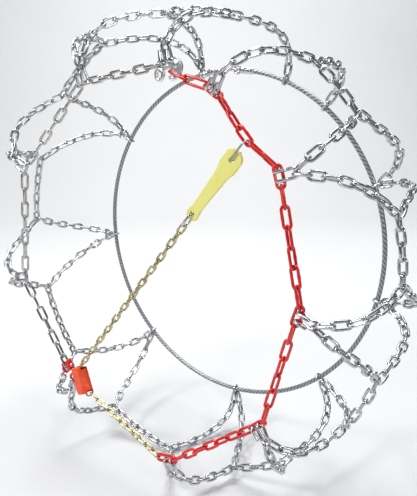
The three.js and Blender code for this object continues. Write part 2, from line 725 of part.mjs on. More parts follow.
addPiece('lock_roller_pin', join([
  bar(ROLLER.x, ROLLER.y, ROLLER.bore - PIN_GAP, BASE_TOP - BASE_THICK, ROLLER.to + 0.6),
  bar(ROLLER.x, ROLLER.y, ROLLER.bore + 0.8, ROLLER.to + 0.4, ROLLER.to + 1.6),
]).applyMatrix4(lockFrame), DARK_STEEL);

const pawlShape = [
  [-3, 1.8], [-2.4, -2], [0.6, -5], [2.2, -6.6], [3.4, -4], [3, -1.2], [3, 1.6], [1.6, 3.2], [-1.6, 3.2],
].map(([x, y]) => new THREE.Vector2(x, y));
const pawlBody = plate(pawlShape, PAWL.to - PAWL.from, 0.4);
const pawlMiddle = (PAWL.to + PAWL.from) / 2;
const pawl = cut(pawlBody.translate(PAWL.x, PAWL.y, pawlMiddle), [bar(PAWL.x, PAWL.y, PAWL.bore, -8, 8)]);
addPiece('lock_pawl', pawl.applyMatrix4(lockFrame), DARK_STEEL);

addPiece('lock_pawl_pin', join([
  bar(PAWL.x, PAWL.y, PAWL.bore - PIN_GAP, BASE_TOP - BASE_THICK, PAWL.to + 2.6),
  bar(PAWL.x, PAWL.y, PAWL.bore + 0.7, PAWL.to + 2.3, PAWL.to + 3.3),
]).applyMatrix4(lockFrame), DARK_STEEL);

const spring = washer(PAWL.x, PAWL.y, PAWL.bore + 0.1, PAWL.bore + 1.1, PAWL.to + 0.3, PAWL.to + 2);
addPiece('lock_spring', spring.applyMatrix4(lockFrame), GALVANISED);

// ---------- Lower run of the tension chain ----------

const lowerStart = new THREE.Vector3(13.5, -25, 0).applyMatrix4(lockFrame);
const lowerEnd = endLinkPoint.clone().addScaledVector(endLinkWay, SIDE_HALF + END_LINK_EXTRA + 1.5);
addPiece('tension_chain_lower', tube([lowerStart, lowerEnd], TENSION_WIDE), YELLOW_ZINC);

// ---------- Inner cable ----------

const CABLE_GAP = 7;          // half of the opening at the top, degrees
const CABLE_STEPS = 48;
const SLEEVE_R = 5.6;
const SLEEVE_LONG = 20;
const SLEEVE_GRIP = 14;

const cablePoints = [];
for (let i = 0; i <= CABLE_STEPS; i += 1) {
  const angle = 90 + CABLE_GAP + ((360 - 2 * CABLE_GAP) * i) / CABLE_STEPS;
  cablePoints.push(wheelPoint(CABLE_R, CABLE_Y, angle));
}
addPiece('inner_cable', tube(cablePoints, CABLE_THICK, 6), SHEATH);

// A crimped sleeve over the cable's end, closed towards +Y of its own frame.
function sleeve() {
  const bore = CABLE_THICK / 2 + 0.4;
  const profile = [
    new THREE.Vector2(0, SLEEVE_GRIP + 0.5),
    new THREE.Vector2(bore, SLEEVE_GRIP + 0.5),
    new THREE.Vector2(bore, 0),
    new THREE.Vector2(SLEEVE_R, 0),
    new THREE.Vector2(SLEEVE_R, SLEEVE_LONG - 2),
    new THREE.Vector2(SLEEVE_R - 2, SLEEVE_LONG),
    new THREE.Vector2(0, SLEEVE_LONG),
  ];
  return asSolid(new THREE.LatheGeometry(profile, 10));
}

// side is -1 for the fitting at the left of the top, 1 for the right.
function sleeveAt(side) {
  const [end, before] = side < 0 ? cablePoints : cablePoints.slice(-2).reverse();
  const towards = end.clone().sub(before).normalize();
  const base = end.clone().addScaledVector(towards, -SLEEVE_GRIP);
  return {
    geometry: sleeve().applyMatrix4(frameAt(base, OUTWARDS, towards)),
    tip: base.clone().addScaledVector(towards, SLEEVE_LONG),
  };
}

const EYE_R = 6;
const EYE_WIRE = 3.6;
const rightSleeve = sleeveAt(1);
const eyeMiddle = rightSleeve.tip.clone().add(new THREE.Vector3(-EYE_R, 0, 0.5));
const eyeRing = asSolid(new THREE.TorusGeometry(EYE_R, EYE_WIRE / 2, 6, 12)).applyMatrix4(
  frameAt(eyeMiddle, new THREE.Vector3(1, 0, 0), new THREE.Vector3(0, 0, 1)),
);
addPiece('cable_eye', join([rightSleeve.geometry, eyeRing]), GALVANISED);

const leftSleeve = sleeveAt(-1);
const CATCH_R = 4.4;
const caughtWire = eyeMiddle.clone().add(new THREE.Vector3(-EYE_R, 0, 0));
const cableHookPath = [
  leftSleeve.tip.clone().add(new THREE.Vector3(-2, 0, 0)),
  leftSleeve.tip.clone().add(new THREE.Vector3(3, -1, 0.2)),
  caughtWire.clone().add(new THREE.Vector3(-5, -CATCH_R + 0.6, 0)),
];
for (let i = 0; i <= 4; i += 1) {
  const turn = (Math.PI * i) / 4;
  cableHookPath.push(caughtWire.clone().add(
    new THREE.Vector3(CATCH_R * Math.sin(turn), -CATCH_R * Math.cos(turn), 0),
  ));
}
cableHookPath.push(caughtWire.clone().add(new THREE.Vector3(-5, CATCH_R, 0)));
addPiece('cable_hook', join([leftSleeve.geometry, tube(cableHookPath, EYE_WIRE, 6)]), GALVANISED);

export default assembly;
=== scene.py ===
import math
import random

import bpy
from mathutils import Matrix, Vector


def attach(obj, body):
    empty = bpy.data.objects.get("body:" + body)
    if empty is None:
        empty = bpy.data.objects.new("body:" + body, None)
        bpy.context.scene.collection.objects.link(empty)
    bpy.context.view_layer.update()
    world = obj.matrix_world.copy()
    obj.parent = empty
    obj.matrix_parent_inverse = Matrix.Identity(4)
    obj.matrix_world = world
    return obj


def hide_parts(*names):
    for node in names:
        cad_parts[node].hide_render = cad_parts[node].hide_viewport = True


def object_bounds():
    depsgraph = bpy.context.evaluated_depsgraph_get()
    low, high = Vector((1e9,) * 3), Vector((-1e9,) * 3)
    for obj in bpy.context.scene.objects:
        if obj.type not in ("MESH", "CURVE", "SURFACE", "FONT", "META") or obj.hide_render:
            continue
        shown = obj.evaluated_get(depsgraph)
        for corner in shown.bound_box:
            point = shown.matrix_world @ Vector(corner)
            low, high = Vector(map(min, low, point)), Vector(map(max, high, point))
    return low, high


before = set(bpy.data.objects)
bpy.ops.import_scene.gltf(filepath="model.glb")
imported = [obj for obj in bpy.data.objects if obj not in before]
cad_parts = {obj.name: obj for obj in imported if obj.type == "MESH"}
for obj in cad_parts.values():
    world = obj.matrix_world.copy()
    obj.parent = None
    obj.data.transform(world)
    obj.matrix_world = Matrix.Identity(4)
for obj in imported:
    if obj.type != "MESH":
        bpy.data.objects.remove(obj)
cad_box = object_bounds()


def in_scene(name, data):
    made = bpy.data.objects.new(name, data)
    bpy.context.scene.collection.objects.link(made)
    return made


# ---------- Camera ----------

CAMERA_AT = Vector((0.5523, -0.6680, 0.1914))
CAMERA_AZIMUTH = math.radians(37.24)
CAMERA_RISE = math.radians(12.33)
CAMERA_ROLL = math.radians(-0.73)
CAMERA_LENS = 42.73

back = Vector((
    math.sin(CAMERA_AZIMUTH) * math.cos(CAMERA_RISE),
    -math.cos(CAMERA_AZIMUTH) * math.cos(CAMERA_RISE),
    math.sin(CAMERA_RISE),
))
level = (-back).cross(Vector((0, 0, 1))).normalized()
upright = level.cross(-back)
turned_right = math.cos(CAMERA_ROLL) * level + math.sin(CAMERA_ROLL) * upright
turned_up = -math.sin(CAMERA_ROLL) * level + math.cos(CAMERA_ROLL) * upright
camera_data = bpy.data.cameras.new("camera")
camera_data.lens = CAMERA_LENS
camera_data.sensor_width = 36
camera_data.clip_start = 0.01
camera = in_scene("camera", camera_data)
camera.matrix_world = Matrix((turned_right, turned_up, back)).transposed().to_4x4()
camera.location = CAMERA_AT
bpy.context.scene.camera = camera

# ---------- Driving dimensions, in metres ----------

TREAD_R = 0.3355
SIDE_R = 0.268
HALF_WIDTH = 0.1115
ROUNDNESS = 3
SIDE_Y = -0.111
CABLE_Y = 0.1125
CABLE_R = 0.266
CABLE_THICK = 0.007

CROSS_WIDE = 0.0132
CROSS_WIRE = 0.0038
CROSS_PITCH = 0.0165
SIDE_WIDE = 0.0126
SIDE_WIRE = 0.0037
SIDE_INNER = 0.023
TENSION_WIDE = 0.0098
TENSION_WIRE = 0.0029
TENSION_PITCH = 0.0135

HOOK_WIRE = 0.004
HOOK_HALF_GAP = 0.0053
HOOK_CURL = 0.0047
HOOK_LEG = 0.017
HOOK_TIP = 0.0112
HOOK_LOOP_DEPTH = 0.0008

TREAD_LEAN = -5.1
INNER_LEAN = -8
REACH = 10.3
END_REACH = 3
JOINT_Y = -0.015
WIRE_OUT = 0.0043     # from the side chain's middle to the wire that a cross hook holds
CAUGHT_AWAY = 0.006   # how far the red link stands back from the strap's hook
OUTER_SHIFT = 0.0014  # how far the two outer strands part in a hook's loop
OUTER_DROP = 0.0027
INNER_SHIFT = 0.002   # how far the two inner strands part in a ring
WOBBLE = 7            # degrees that a hanging link may be off its quarter turn

BOTH = [REACH, -REACH]
# x, z, hook's turn, reaches, and how far the side chain's link there is turned on its length.
CORNERS = [
    (0.069, 0.257, 20, [END_REACH], 0),
    (0.135, 0.222, -4, [-END_REACH], 50),
    (0.224, 0.129, -14, BOTH, 40),
    (0.252, -0.025, -14, BOTH, 10),
    (0.198, -0.176, -8, BOTH, 40),
    (0.054, -0.274, 0, BOTH, 0),
    (-0.136, -0.207, 4, BOTH, 0),
    (-0.247, -0.056, -6, BOTH, 50),
    (-0.224, 0.120, -6, BOTH, 50),
    (-0.080, 0.240, -6, BOTH, 50),
]

LINE_START = Vector((-0.1156, -0.1115, -0.172))
LINE_ANGLE = 48.5
SMALL_HOLE = 0.3345
BIG_HOLE = 0.4235
HOOK_POINT = 0.4535

OUTWARDS = Vector((0, -1, 0))

# ---------- Materials ----------


class Nodes:
    """A material's node tree, built one node at a time."""

    def __init__(self, name):
        self.material = bpy.data.materials.new(name)
        self.material.use_nodes = True
        self.tree = self.material.node_tree
        self.shader = self.tree.nodes["Principled BSDF"]
        self.place = self.add("ShaderNodeTexCoord").outputs["Object"]

    def add(self, kind, **values):
        node = self.tree.nodes.new(kind)
        for key, value in values.items():
            setattr(node, key, value)
        return node

    def link(self, output, socket):
        self.tree.links.new(output, socket)

    def noise(self, scale, detail=3, roughness=0.55, distortion=0):
        node = self.add("ShaderNodeTexNoise")
        node.inputs["Scale"].default_value = scale
        node.inputs["Detail"].default_value = detail
        node.inputs["Roughness"].default_value = roughness
        node.inputs["Distortion"].default_value = distortion
        self.link(self.place, node.inputs["Vector"])
        return node.outputs["Fac"]

    def cells(self, scale):
        node = self.add("ShaderNodeTexVoronoi")
        node.inputs["Scale"].default_value = scale
        self.link(self.place, node.inputs["Vector"])
        return node

    def spread(self, value, low, high, to_low, to_high):
        node = self.add("ShaderNodeMapRange")
        for key, number in (("From Min", low), ("From Max", high), ("To Min", to_low), ("To Max", to_high)):
            node.inputs[key].default_value = number
        self.link(value, node.inputs["Value"])
        return node.outputs["Result"]

    def ramp(self, value, stops):
        node = self.add("ShaderNodeValToRGB")
        band = node.color_ramp
        while len(band.elements) < len(stops):
            band.elements.new(0.5)
        for element, (place, color) in zip(band.elements, stops):
            element.position = place
            element.color = (*color, 1)
        self.link(value, node.inputs["Fac"])
        return node.outputs["Color"]

    def mix(self, factor, first, second):
        node = self.add("ShaderNodeMix", data_type="RGBA")
        self.link(factor, node.inputs["Factor"])
        self.link(first, node.inputs[6])
        self.link(second, node.inputs[7])
        return node.outputs[2]

    def bump(self, height, strength, distance):
        node = self.add("ShaderNodeBump")
        node.inputs["Strength"].default_value = strength
        node.inputs["Distance"].default_value = distance
        self.link(height, node.inputs["Height"])
        if self.shader.inputs["Normal"].is_linked:
            self.link(self.shader.inputs["Normal"].links[0].from_socket, node.inputs["Normal"])
        self.link(node.outputs["Normal"], self.shader.inputs["Normal"])

    def edges(self, low, high):
        geometry = self.add("ShaderNodeNewGeometry")
        return self.spread(geometry.outputs["Pointiness"], low, high, 0, 1)


def zinc_material(name, light, dark, tint, rough_low=0.12, rough_high=0.34):
    """Plated steel wire: crystalline spangle, handling smears, painted shade in the hollows mottled by
    noise, fine scratches.
    """
    m = Nodes(name)
    spangle = m.cells(900)
    patches = m.noise(70, 4, 0.6, 0.4)
    base = m.ramp(patches, [(0.28, dark), (0.52, light), (0.78, tint)])
    flake = m.ramp(spangle.outputs["Distance"], [(0.0, light), (0.75, dark)])
    plated = m.mix(m.spread(m.noise(260, 2), 0.35, 0.7, 0.0, 0.4), base, flake)
    # Painted shade: the hollows, where links cross and bend, get a mottled near-black colour in place of
    # the plating.
    hollows = m.edges(0.49, 0.44)
    darkest, darker = tuple(0.35 * c for c in dark), tuple(0.6 * c for c in dark)
    grime_and_shade = m.ramp(m.noise(120, 3), [(0.3, darkest), (0.7, darker)])
    m.link(m.mix(hollows, plated, grime_and_shade), m.shader.inputs["Base Color"])
    m.link(m.spread(m.noise(150, 4, 0.65), 0.3, 0.72, rough_low, rough_high), m.shader.inputs["Roughness"])
    m.shader.inputs["Metallic"].default_value = 1.0
    m.bump(m.noise(1400, 3), 0.15, 0.0003)
    m.bump(m.noise(240, 2), 0.22, 0.0008)
    return m.material


def coated_material(name, deep, bright, steel):
    """Thick glossy paint on wire, thin and chipped where links rub."""
    m = Nodes(name)
    paint = m.ramp(m.noise(60, 3, 0.5), [(0.3, deep), (0.7, bright)])
    metal = m.ramp(m.noise(500, 2), [(0.3, steel), (0.7, tuple(0.7 * c for c in steel))])
    chips = m.spread(m.noise(420, 5, 0.75, 0.3), 0.665, 0.70, 0, 0.85)
    m.link(m.mix(chips, paint, metal), m.shader.inputs["Base Color"])
    m.link(m.spread(chips, 0, 1, 0, 0.8), m.shader.inputs["Metallic"])
    m.link(m.spread(m.noise(180, 3), 0.3, 0.7, 0.13, 0.29), m.shader.inputs["Roughness"])
    m.shader.inputs["Specular IOR Level"].default_value = 0.6
    m.shader.inputs["Coat Weight"].default_value = 0.35
    m.shader.inputs["Coat Roughness"].default_value = 0.1
    m.bump(m.noise(320, 3), 0.28, 0.0006)
    m.bump(chips, 0.2, -0.0002)
    return m.material


def moulded_material(name, low, high, rough, grain, coat=0.0, scatter=0.0):
    """Moulded rubber or plastic: fine grain, slow colour drift, scuffed edges."""
    m = Nodes(name)
    drift = m.ramp(m.noise(28, 4, 0.6, 0.2), [(0.3, low), (0.7, high)])
    scuffed = m.ramp(m.noise(90, 2), [(0.2, high), (0.9, tuple(min(1, 1.12 * c + 0.03) for c in high))])
    m.link(m.mix(m.edges(0.52, 0.6), drift, scuffed), m.shader.inputs["Base Color"])
    m.link(m.spread(m.noise(160, 4), 0.3, 0.7, rough - 0.08, rough + 0.1), m.shader.inputs["Roughness"])
    m.shader.inputs["Coat Weight"].default_value = coat
    m.shader.inputs["Subsurface Weight"].default_value = scatter
    m.shader.inputs["Subsurface Radius"].default_value = (0.004, 0.003, 0.001)
    m.bump(m.noise(grain, 4, 0.6), 0.25, 0.0003)
    m.bump(m.noise(35, 2), 0.12, 0.001)
    return m.material


def sheath_material(name):
    """Clear-coated steel cable: the lay of its strands shows as slanting ridges."""
    m = Nodes(name)
    wave = m.add("ShaderNodeTexWave", wave_type="BANDS", bands_direction="DIAGONAL")
    uv = m.add("ShaderNodeUVMap")
    m.link(uv.outputs["UV"], wave.inputs["Vector"])
    wave.inputs["Scale"].default_value = 1.0
    wave.inputs["Distortion"].default_value = 0.15
    grey = m.ramp(wave.outputs["Fac"], [(0.1, (0.10, 0.105, 0.11)), (0.75, (0.42, 0.43, 0.45))])
    grime_and_shade = m.ramp(m.noise(40, 3), [(0.3, (0.16, 0.16, 0.16)), (0.7, (0.36, 0.37, 0.39))])
    m.link(m.mix(m.spread(m.noise(90, 3), 0.4, 0.8, 0.1, 0.5), grey, grime_and_shade), m.shader.inputs["Base Color"])
    m.link(m.spread(m.noise(120, 3), 0.3, 0.7, 0.22, 0.4), m.shader.inputs["Roughness"])
    m.shader.inputs["Metallic"].default_value = 0.35
    m.shader.inputs["Coat Weight"].default_value = 0.5
    m.bump(wave.outputs["Fac"], 0.5, 0.0006)
    return m.material


GALVANISED = zinc_material("galvanised", (0.64, 0.65, 0.67), (0.24, 0.25, 0.27), (0.80, 0.80, 0.81))
SIDE_ZINC = zinc_material("side_chain_zinc", (0.60, 0.60, 0.58), (0.25, 0.25, 0.25), (0.74, 0.74, 0.70))
YELLOW_ZINC = zinc_material("yellow_zinc", (0.60, 0.54, 0.31), (0.26, 0.22, 0.11), (0.78, 0.74, 0.52))
DARK_STEEL = zinc_material("dark_steel", (0.24, 0.25, 0.27), (0.10, 0.11, 0.12), (0.34, 0.35, 0.36))
FORGED = zinc_material(
    "forged_zinc", (0.84, 0.84, 0.85), (0.58, 0.59, 0.62), (0.92, 0.92, 0.92), 0.24, 0.42
)
RED_COAT = coated_material("red_coat", (0.58, 0.004, 0.004), (0.82, 0.010, 0.008), (0.4, 0.4, 0.4))
LOCK_RED = moulded_material("lock_cover_red", (0.86, 0.060, 0.005), (0.98, 0.095, 0.010), 0.34, 1500, 0.1)
STRAP_YELLOW = moulded_material(
    "strap_rubber", (0.84, 0.80, 0.21), (0.92, 0.89, 0.29), 0.45, 1100, 0.05, 0.05
)
SHEATH = sheath_material("cable_sheath")

# ---------- Mesh helpers ----------


class Mesh:
    """Points and faces gathered for one piece."""

    def __init__(self):
        self.points = []
        self.faces = []
        self.uvs = []

    def add(self, points, faces, matrix=None, uvs=None):
        base = len(self.points)
        moved = points if matrix is None else [matrix @ Vector(point) for point in points]
        self.points.extend(moved)
        self.faces.extend(tuple(base + index for index in face) for face in faces)
        if uvs:
            self.uvs.extend(uvs)

    def build(self, name, material, body, *nodes, smooth=True):
        mesh = bpy.data.meshes.new(name)
        mesh.from_pydata([tuple(point) for point in self.points], [], self.faces)
        mesh.validate()
        if self.uvs:
            layer = mesh.uv_layers.new(name="UVMap")
            for loop in mesh.loops:
                layer.data[loop.index].uv = self.uvs[loop.vertex_index]
        for polygon in mesh.polygons:
            polygon.use_smooth = smooth
        return placed(name, mesh, material, body, *nodes)


def placed(name, mesh, material, body, *nodes):
    piece = in_scene(name, mesh)
    mesh.materials.clear()
    mesh.materials.append(material)
    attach(piece, body)
    if nodes:
        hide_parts(*nodes)
    return piece


def sweep(points, radius, sides=12, closed=False, round_ends=True, up=None):
    """A round bar along points; radius is one number or one for each point."""
    count = len(points)
    radii = [radius] * count if isinstance(radius, float) else radius
    tangents = []
    for i in range(count):
        before = points[(i - 1) % count] if closed or i else points[0]
        after = points[(i + 1) % count] if closed or i < count - 1 else points[-1]
        tangents.append((after - before).normalized())
    first = up or (Vector((0, 0, 1)) if abs(tangents[0].z) < 0.8 else Vector((1, 0, 0)))
    side = tangents[0].cross(first).normalized()
    vertices, faces = [], []
    rings = []
    for i in range(count):
        side = (side - tangents[i] * side.dot(tangents[i])).normalized()
        other = tangents[i].cross(side)
        rings.append((points[i], side.copy(), other, tangents[i], radii[i]))
    if not closed and round_ends:
        caps = [(0.35, 0.94), (0.75, 0.66)]
        start = [(rings[0], -reach, share) for reach, share in reversed(caps)]
        end = [(rings[-1], reach, share) for reach, share in caps]
        layers = start + [(ring, 0, 1) for ring in rings] + end
    else:
        layers = [(ring, 0, 1) for ring in rings]
    for (centre, across, other, tangent, size), reach, share in layers:
        for k in range(sides):
            angle = 2 * math.pi * k / sides
            offset = across * math.cos(angle) + other * math.sin(angle)
            vertices.append(centre + tangent * size * reach * 0.8 + offset * size * share)
    total = len(layers)
    for i in range(total if closed else total - 1):
        j = (i + 1) % total
        for k in range(sides):
            m = (k + 1) % sides
            faces.append((i * sides + k, i * sides + m, j * sides + m, j * sides + k))
    if not closed:
        faces.append(tuple(reversed(range(sides))))
        faces.append(tuple(range((total - 1) * sides, total * sides)))
    return vertices, faces


def link_outline(inner, width, wire, steps=7):
    """The centre line of a link's wire, in XY, long along X."""
    radius = (width - wire) / 2
    straight = max((inner + wire) / 2 - radius, 0)
    points = []
    for side in (1, -1):
        for i in range(steps + 1):
            angle = -math.pi / 2 + math.pi * i / steps
            x = side * (straight + radius * math.cos(angle))
            points.append(Vector((x, side * radius * math.sin(angle), 0)))
        for share in (0.3, 0.5, 0.7):
            x = side * straight * (1 - 2 * share)
            points.append(Vector((x, side * radius, 0)))
    return points


def link_mesh(inner, width, wire, sides=10):
    """A bent wire link with its butt weld in the middle of one side."""
    points = link_outline(inner, width, wire)
    weld = Vector((0, (width - wire) / 2, 0))
    radii = []
    for point in points:
        near = math.exp(-(((point - weld).length / (0.45 * wire)) ** 2))
        radii.append(wire / 2 * (1 + 0.14 * near))
    return sweep(points, radii, sides, closed=True, up=Vector((0, 0, 1)))


def smoothstep(t):
    t = min(max(t, 0), 1)
    return t * t * (3 - 2 * t)


def lengths_of(points):
    lengths = [0.0]
    for a, b in zip(points, points[1:]):
        lengths.append(lengths[-1] + (b - a).length)
    return lengths


def at_length(points, lengths, wanted):
    k = 1
    while k < len(points) - 1 and lengths[k] < wanted:
        k += 1
    share = (wanted - lengths[k - 1]) / max(lengths[k] - lengths[k - 1], 1e-9)
    return points[k - 1].lerp(points[k], share), k


def chain(mesh, path, normals, pitch, width, wire, first_roll, last_roll, seed, tidy=False):
    """Links along a path from its first end wire's centre to its last one's.

    A link with no roll lies flat on its normal. Every next link turns a quarter more, and the
    rest needed to reach last_roll is spread over the run."""
    shuffled = random.Random(seed)
    lengths = lengths_of(path)
    total = lengths[-1]
    count = max(round((total - wire) / pitch), 1)
    twist = (last_roll - first_roll - 90 * (count - 1)) % 180
    if twist > 90:
        twist -= 180
    if tidy and abs(twist) > 1:
        options = [n for n in (count - 1, count + 1) if n > 0]
        count = min(options, key=lambda n: abs(n * pitch - (total - wire)))
        twist = 0
    inner = (total - wire) / count
    shape = link_mesh(inner + 0.0001, width, wire)
    for i in range(count):
        a, k = at_length(path, lengths, i * inner)
        b, m = at_length(path, lengths, i * inner + inner + wire)
        along = (b - a).normalized()
        normal = (normals[k] + normals[m]).normalized()
        flat = (normal - along * normal.dot(along)).normalized()
        wobble = 0 if tidy and i in (0, count - 1) else shuffled.uniform(-WOBBLE, WOBBLE)
        roll = first_roll + (90 + twist / max(count - 1, 1)) * i + wobble
        turned = Matrix.Rotation(math.radians(roll), 3, along) @ flat
        basis = Matrix((along, turned.cross(along), turned)).transposed().to_4x4()
        mesh.add(*shape, Matrix.Translation((a + b) / 2) @ basis)
    return count


def in_wheel(angle):
    return Vector((math.cos(math.radians(angle)), 0, math.sin(math.radians(angle))))


def wheel_point(radius, y, angle):
    return in_wheel(angle) * radius + Vector((0, y, 0))


def angle_of(point):
    return math.degrees(math.atan2(point.z, point.x))


def axes(origin, x, y):
    return Matrix.Translation(origin) @ Matrix((x, y, x.cross(y))).transposed().to_4x4()


# ---------- Strands over the tyre ----------


def meridian(phi):
    """Distance across the tyre and radius at a point of the superellipse over it."""
    power = 2 / ROUNDNESS
    across = math.copysign(abs(math.sin(phi)) ** power * HALF_WIDTH, phi)
    return across, SIDE_R + max(math.cos(phi), 0) ** power * (TREAD_R - SIDE_R)


def phi_at_radius(radius):
    share = max(radius - SIDE_R, 0) / (TREAD_R - SIDE_R)
    return math.acos(min(share ** (ROUNDNESS / 2), 1))


def phi_across(across):
    return math.copysign(math.asin((abs(across) / HALF_WIDTH) ** (ROUNDNESS / 2)), across)


def surface_normal(point):
    radius = math.hypot(point.x, point.z)
    out = (max(radius - SIDE_R, 0) / (TREAD_R - SIDE_R)) ** (ROUNDNESS - 1) / (TREAD_R - SIDE_R)
    across = math.copysign((abs(point.y) / HALF_WIDTH) ** (ROUNDNESS - 1) / HALF_WIDTH, point.y)
    radial = Vector((point.x, 0, point.z)).normalized()
    return (radial * out + Vector((0, across, 0))).normalized()


def arm_path(side, start, joint_angle, end, bend=0.03):
    """From a start point on the sidewall, over the shoulder, to an end point at a joint."""
    samples = 160
    first = phi_at_radius(math.hypot(start.x, start.z))
    last = phi_across(side * JOINT_Y)
    flat = []
    for i in range(samples + 1):
        across, radius = meridian(first + (last - first) * i / samples)
        flat.append(Vector((0, side * across, radius)))
    lengths = lengths_of(flat)
    total = lengths[-1]
    start_angle = angle_of(start)
    turn = (joint_angle - start_angle + 180) % 360 - 180
    base = []
    for point, length in zip(flat, lengths):
        base.append(wheel_point(point.z, point.y, start_angle + turn * length / total))
    at_start = start - base[0]
    at_end = end - base[-1]
    path = []
    for point, length in zip(base, lengths):
        moved = point + at_start * (1 - smoothstep(length / bend))
        path.append(moved + at_end * smoothstep((length - total + bend) / bend))
    return path, [surface_normal(point) for point in base]


corners = []
for x, z, turn, reaches, roll in CORNERS:
    corner = {"point": Vector((x, SIDE_Y, z)), "reaches": reaches, "roll": roll}
    corner["angle"] = angle_of(corner["point"])
    corner["way"] = in_wheel(corner["angle"] + turn)
    corner["across"] = in_wheel(corner["angle"] + turn - 90)
    corner["wire"] = corner["point"] + corner["way"] * WIRE_OUT
    corners.append(corner)

tread_radius = meridian(phi_across(JOINT_Y))[1]


def joint_angle(corner, reach):
    return corner["angle"] + TREAD_LEAN + reach


def joint_end(corner, reach, side):
    """Where an arm's last end wire stands in the tread link's opening."""
    angle = joint_angle(corner, reach)
    centre = wheel_point(tread_radius, JOINT_Y, angle)
    into_tread = in_wheel(angle + (90 if reach > 0 else -90))
    if side < 0:
        return centre + into_tread * 0.0021 + Vector((0, -0.0008, 0))
    return centre + into_tread * 0.0056 + Vector((0, 0.0009, 0))


# ---------- Cross chain hooks ----------

LOOP_TOP = HOOK_LEG + HOOK_HALF_GAP


def hook_points():
    half = []
    for i in range(4):
        half.append(Vector((-HOOK_HALF_GAP, HOOK_TIP * (1 - i / 4), HOOK_CURL)))
    for i in range(11):
        turn = math.pi * i / 10
        half.append(Vector((-HOOK_HALF_GAP, -HOOK_CURL * math.sin(turn), HOOK_CURL * math.cos(turn))))
    for share in (0.25, 0.5, 0.75):
        y = HOOK_LEG * share
        z = -HOOK_CURL + (HOOK_CURL - HOOK_LOOP_DEPTH) * smoothstep(share)
        half.append(Vector((-HOOK_HALF_GAP, y, z)))
    for i in range(6):
        turn = math.pi / 2 * i / 6
        x = -HOOK_HALF_GAP * math.cos(turn)
        half.append(Vector((x, HOOK_LEG + HOOK_HALF_GAP * math.sin(turn), -HOOK_LOOP_DEPTH)))
    top = Vector((0, LOOP_TOP, -HOOK_LOOP_DEPTH))
    return half + [top] + [Vector((-p.x, p.y, p.z)) for p in reversed(half)]


hook_shape = sweep(hook_points(), HOOK_WIRE / 2, 12, up=Vector((1, 0, 0)))

for i, corner in enumerate(corners):
    flat = corner["wire"] + corner["way"] * LOOP_TOP
    surface = -meridian(phi_at_radius(math.hypot(flat.x, flat.z)))[0]
    lean = max(math.atan2(surface - SIDE_Y - HOOK_LOOP_DEPTH, LOOP_TOP), 0)
    leaning = corner["way"] * math.cos(lean) + Vector((0, math.sin(lean), 0))
    corner["hook_axes"] = axes(corner["wire"], corner["across"], leaning)
    hook = Mesh()
    hook.add(*hook_shape, corner["hook_axes"])
    hook.build(f"hook_{i + 1}", GALVANISED, "fitted_net", f"cross_hook_{i + 1}")

# ---------- Cross chains ----------

for i, corner in enumerate(corners):
    strands = Mesh()
    for number, reach in enumerate(corner["reaches"]):
        shift = 0
        drop = 0
        if len(corner["reaches"]) == 2:
            shift = -OUTER_SHIFT if reach > 0 else OUTER_SHIFT
            drop = OUTER_DROP * number
        seat = LOOP_TOP - HOOK_WIRE / 2 - CROSS_WIRE / 2 - 0.0001 - drop
        start = corner["hook_axes"] @ Vector((shift, seat, -HOOK_LOOP_DEPTH))
        end = joint_end(corner, reach, -1)
        path, normals = arm_path(-1, start, joint_angle(corner, reach), end)
        seed = f"outer {i} {reach}"
        chain(strands, path, normals, CROSS_PITCH, CROSS_WIDE, CROSS_WIRE, 90, 90, seed, tidy=True)
    strands.build(f"outer_arms_{i + 1}", GALVANISED, "fitted_net", f"outer_cross_chain_{i + 1}")

RING_WIRE = 0.0035
RING_WIDE = 0.0150
RING_INNER = 0.0125
ring_shape = link_mesh(RING_INNER, RING_WIDE, RING_WIRE, 12)

for i, corner in enumerate(corners):
    angle = corner["angle"] + INNER_LEAN
    radial = in_wheel(angle)
    ring_middle = wheel_point(CABLE_R - CABLE_THICK / 2 - 0.0002 + RING_INNER / 2, CABLE_Y, angle)
    strands = Mesh()
    strands.add(*ring_shape, axes(ring_middle, radial, OUTWARDS))
    for reach in corner["reaches"]:
        shift = 0
        if len(corner["reaches"]) == 2:
            shift = INNER_SHIFT if reach > 0 else -INNER_SHIFT
        start = ring_middle + radial * (RING_INNER / 2 - CROSS_WIRE / 2) + Vector((0, shift, 0))
        end = joint_end(corner, reach, 1)
        path, normals = arm_path(1, start, joint_angle(corner, reach), end)
        seed = f"inner {i} {reach}"
        chain(strands, path, normals, CROSS_PITCH, CROSS_WIDE, CROSS_WIRE, 0, 90, seed, tidy=True)
    strands.build(f"inner_arms_{i + 1}", GALVANISED, "fitted_net", f"inner_cross_chain_{i + 1}")

# ---------- Tread chains ----------

for i in range(1, len(corners)):
    corner = corners[i]
    following = corners[(i + 1) % len(corners)]
    first = joint_angle(corner, min(corner["reaches"]))
    last = joint_angle(following, max(following["reaches"]))
    turn = (last - first) % 360 - 360
    path = [wheel_point(tread_radius, JOINT_Y, first + turn * k / 60) for k in range(61)]
    path[0] += in_wheel(first + 90) * CROSS_WIRE / 2
    path[-1] += in_wheel(last - 90) * CROSS_WIRE / 2
    normals = [surface_normal(point) for point in path]
    tread = Mesh()
    chain(tread, path, normals, CROSS_PITCH, CROSS_WIDE, CROSS_WIRE, 0, 0, f"tread {i}", tidy=True)
    tread.build(f"tread_links_{i}", GALVANISED, "fitted_net", f"tread_chain_{i}")

# ---------- Side chains ----------

HOLD = (SIDE_INNER - SIDE_WIRE) / 2


def side_link(mesh, middle, along, roll=0):
    flat = Matrix.Rotation(math.radians(roll), 3, along) @ OUTWARDS
    basis = Matrix((along, flat.cross(along), flat)).transposed().to_4x4()
    mesh.add(*link_mesh(SIDE_INNER, SIDE_WIDE, SIDE_WIRE), Matrix.Translation(middle) @ basis)


def side_run(mesh, start, end, first_roll, last_roll, seed):
    path = [start.lerp(end, k / 20) for k in range(21)]
    normals = [OUTWARDS] * 21
    chain(mesh, path, normals, SIDE_INNER, SIDE_WIDE, SIDE_WIRE, first_roll, last_roll, seed)


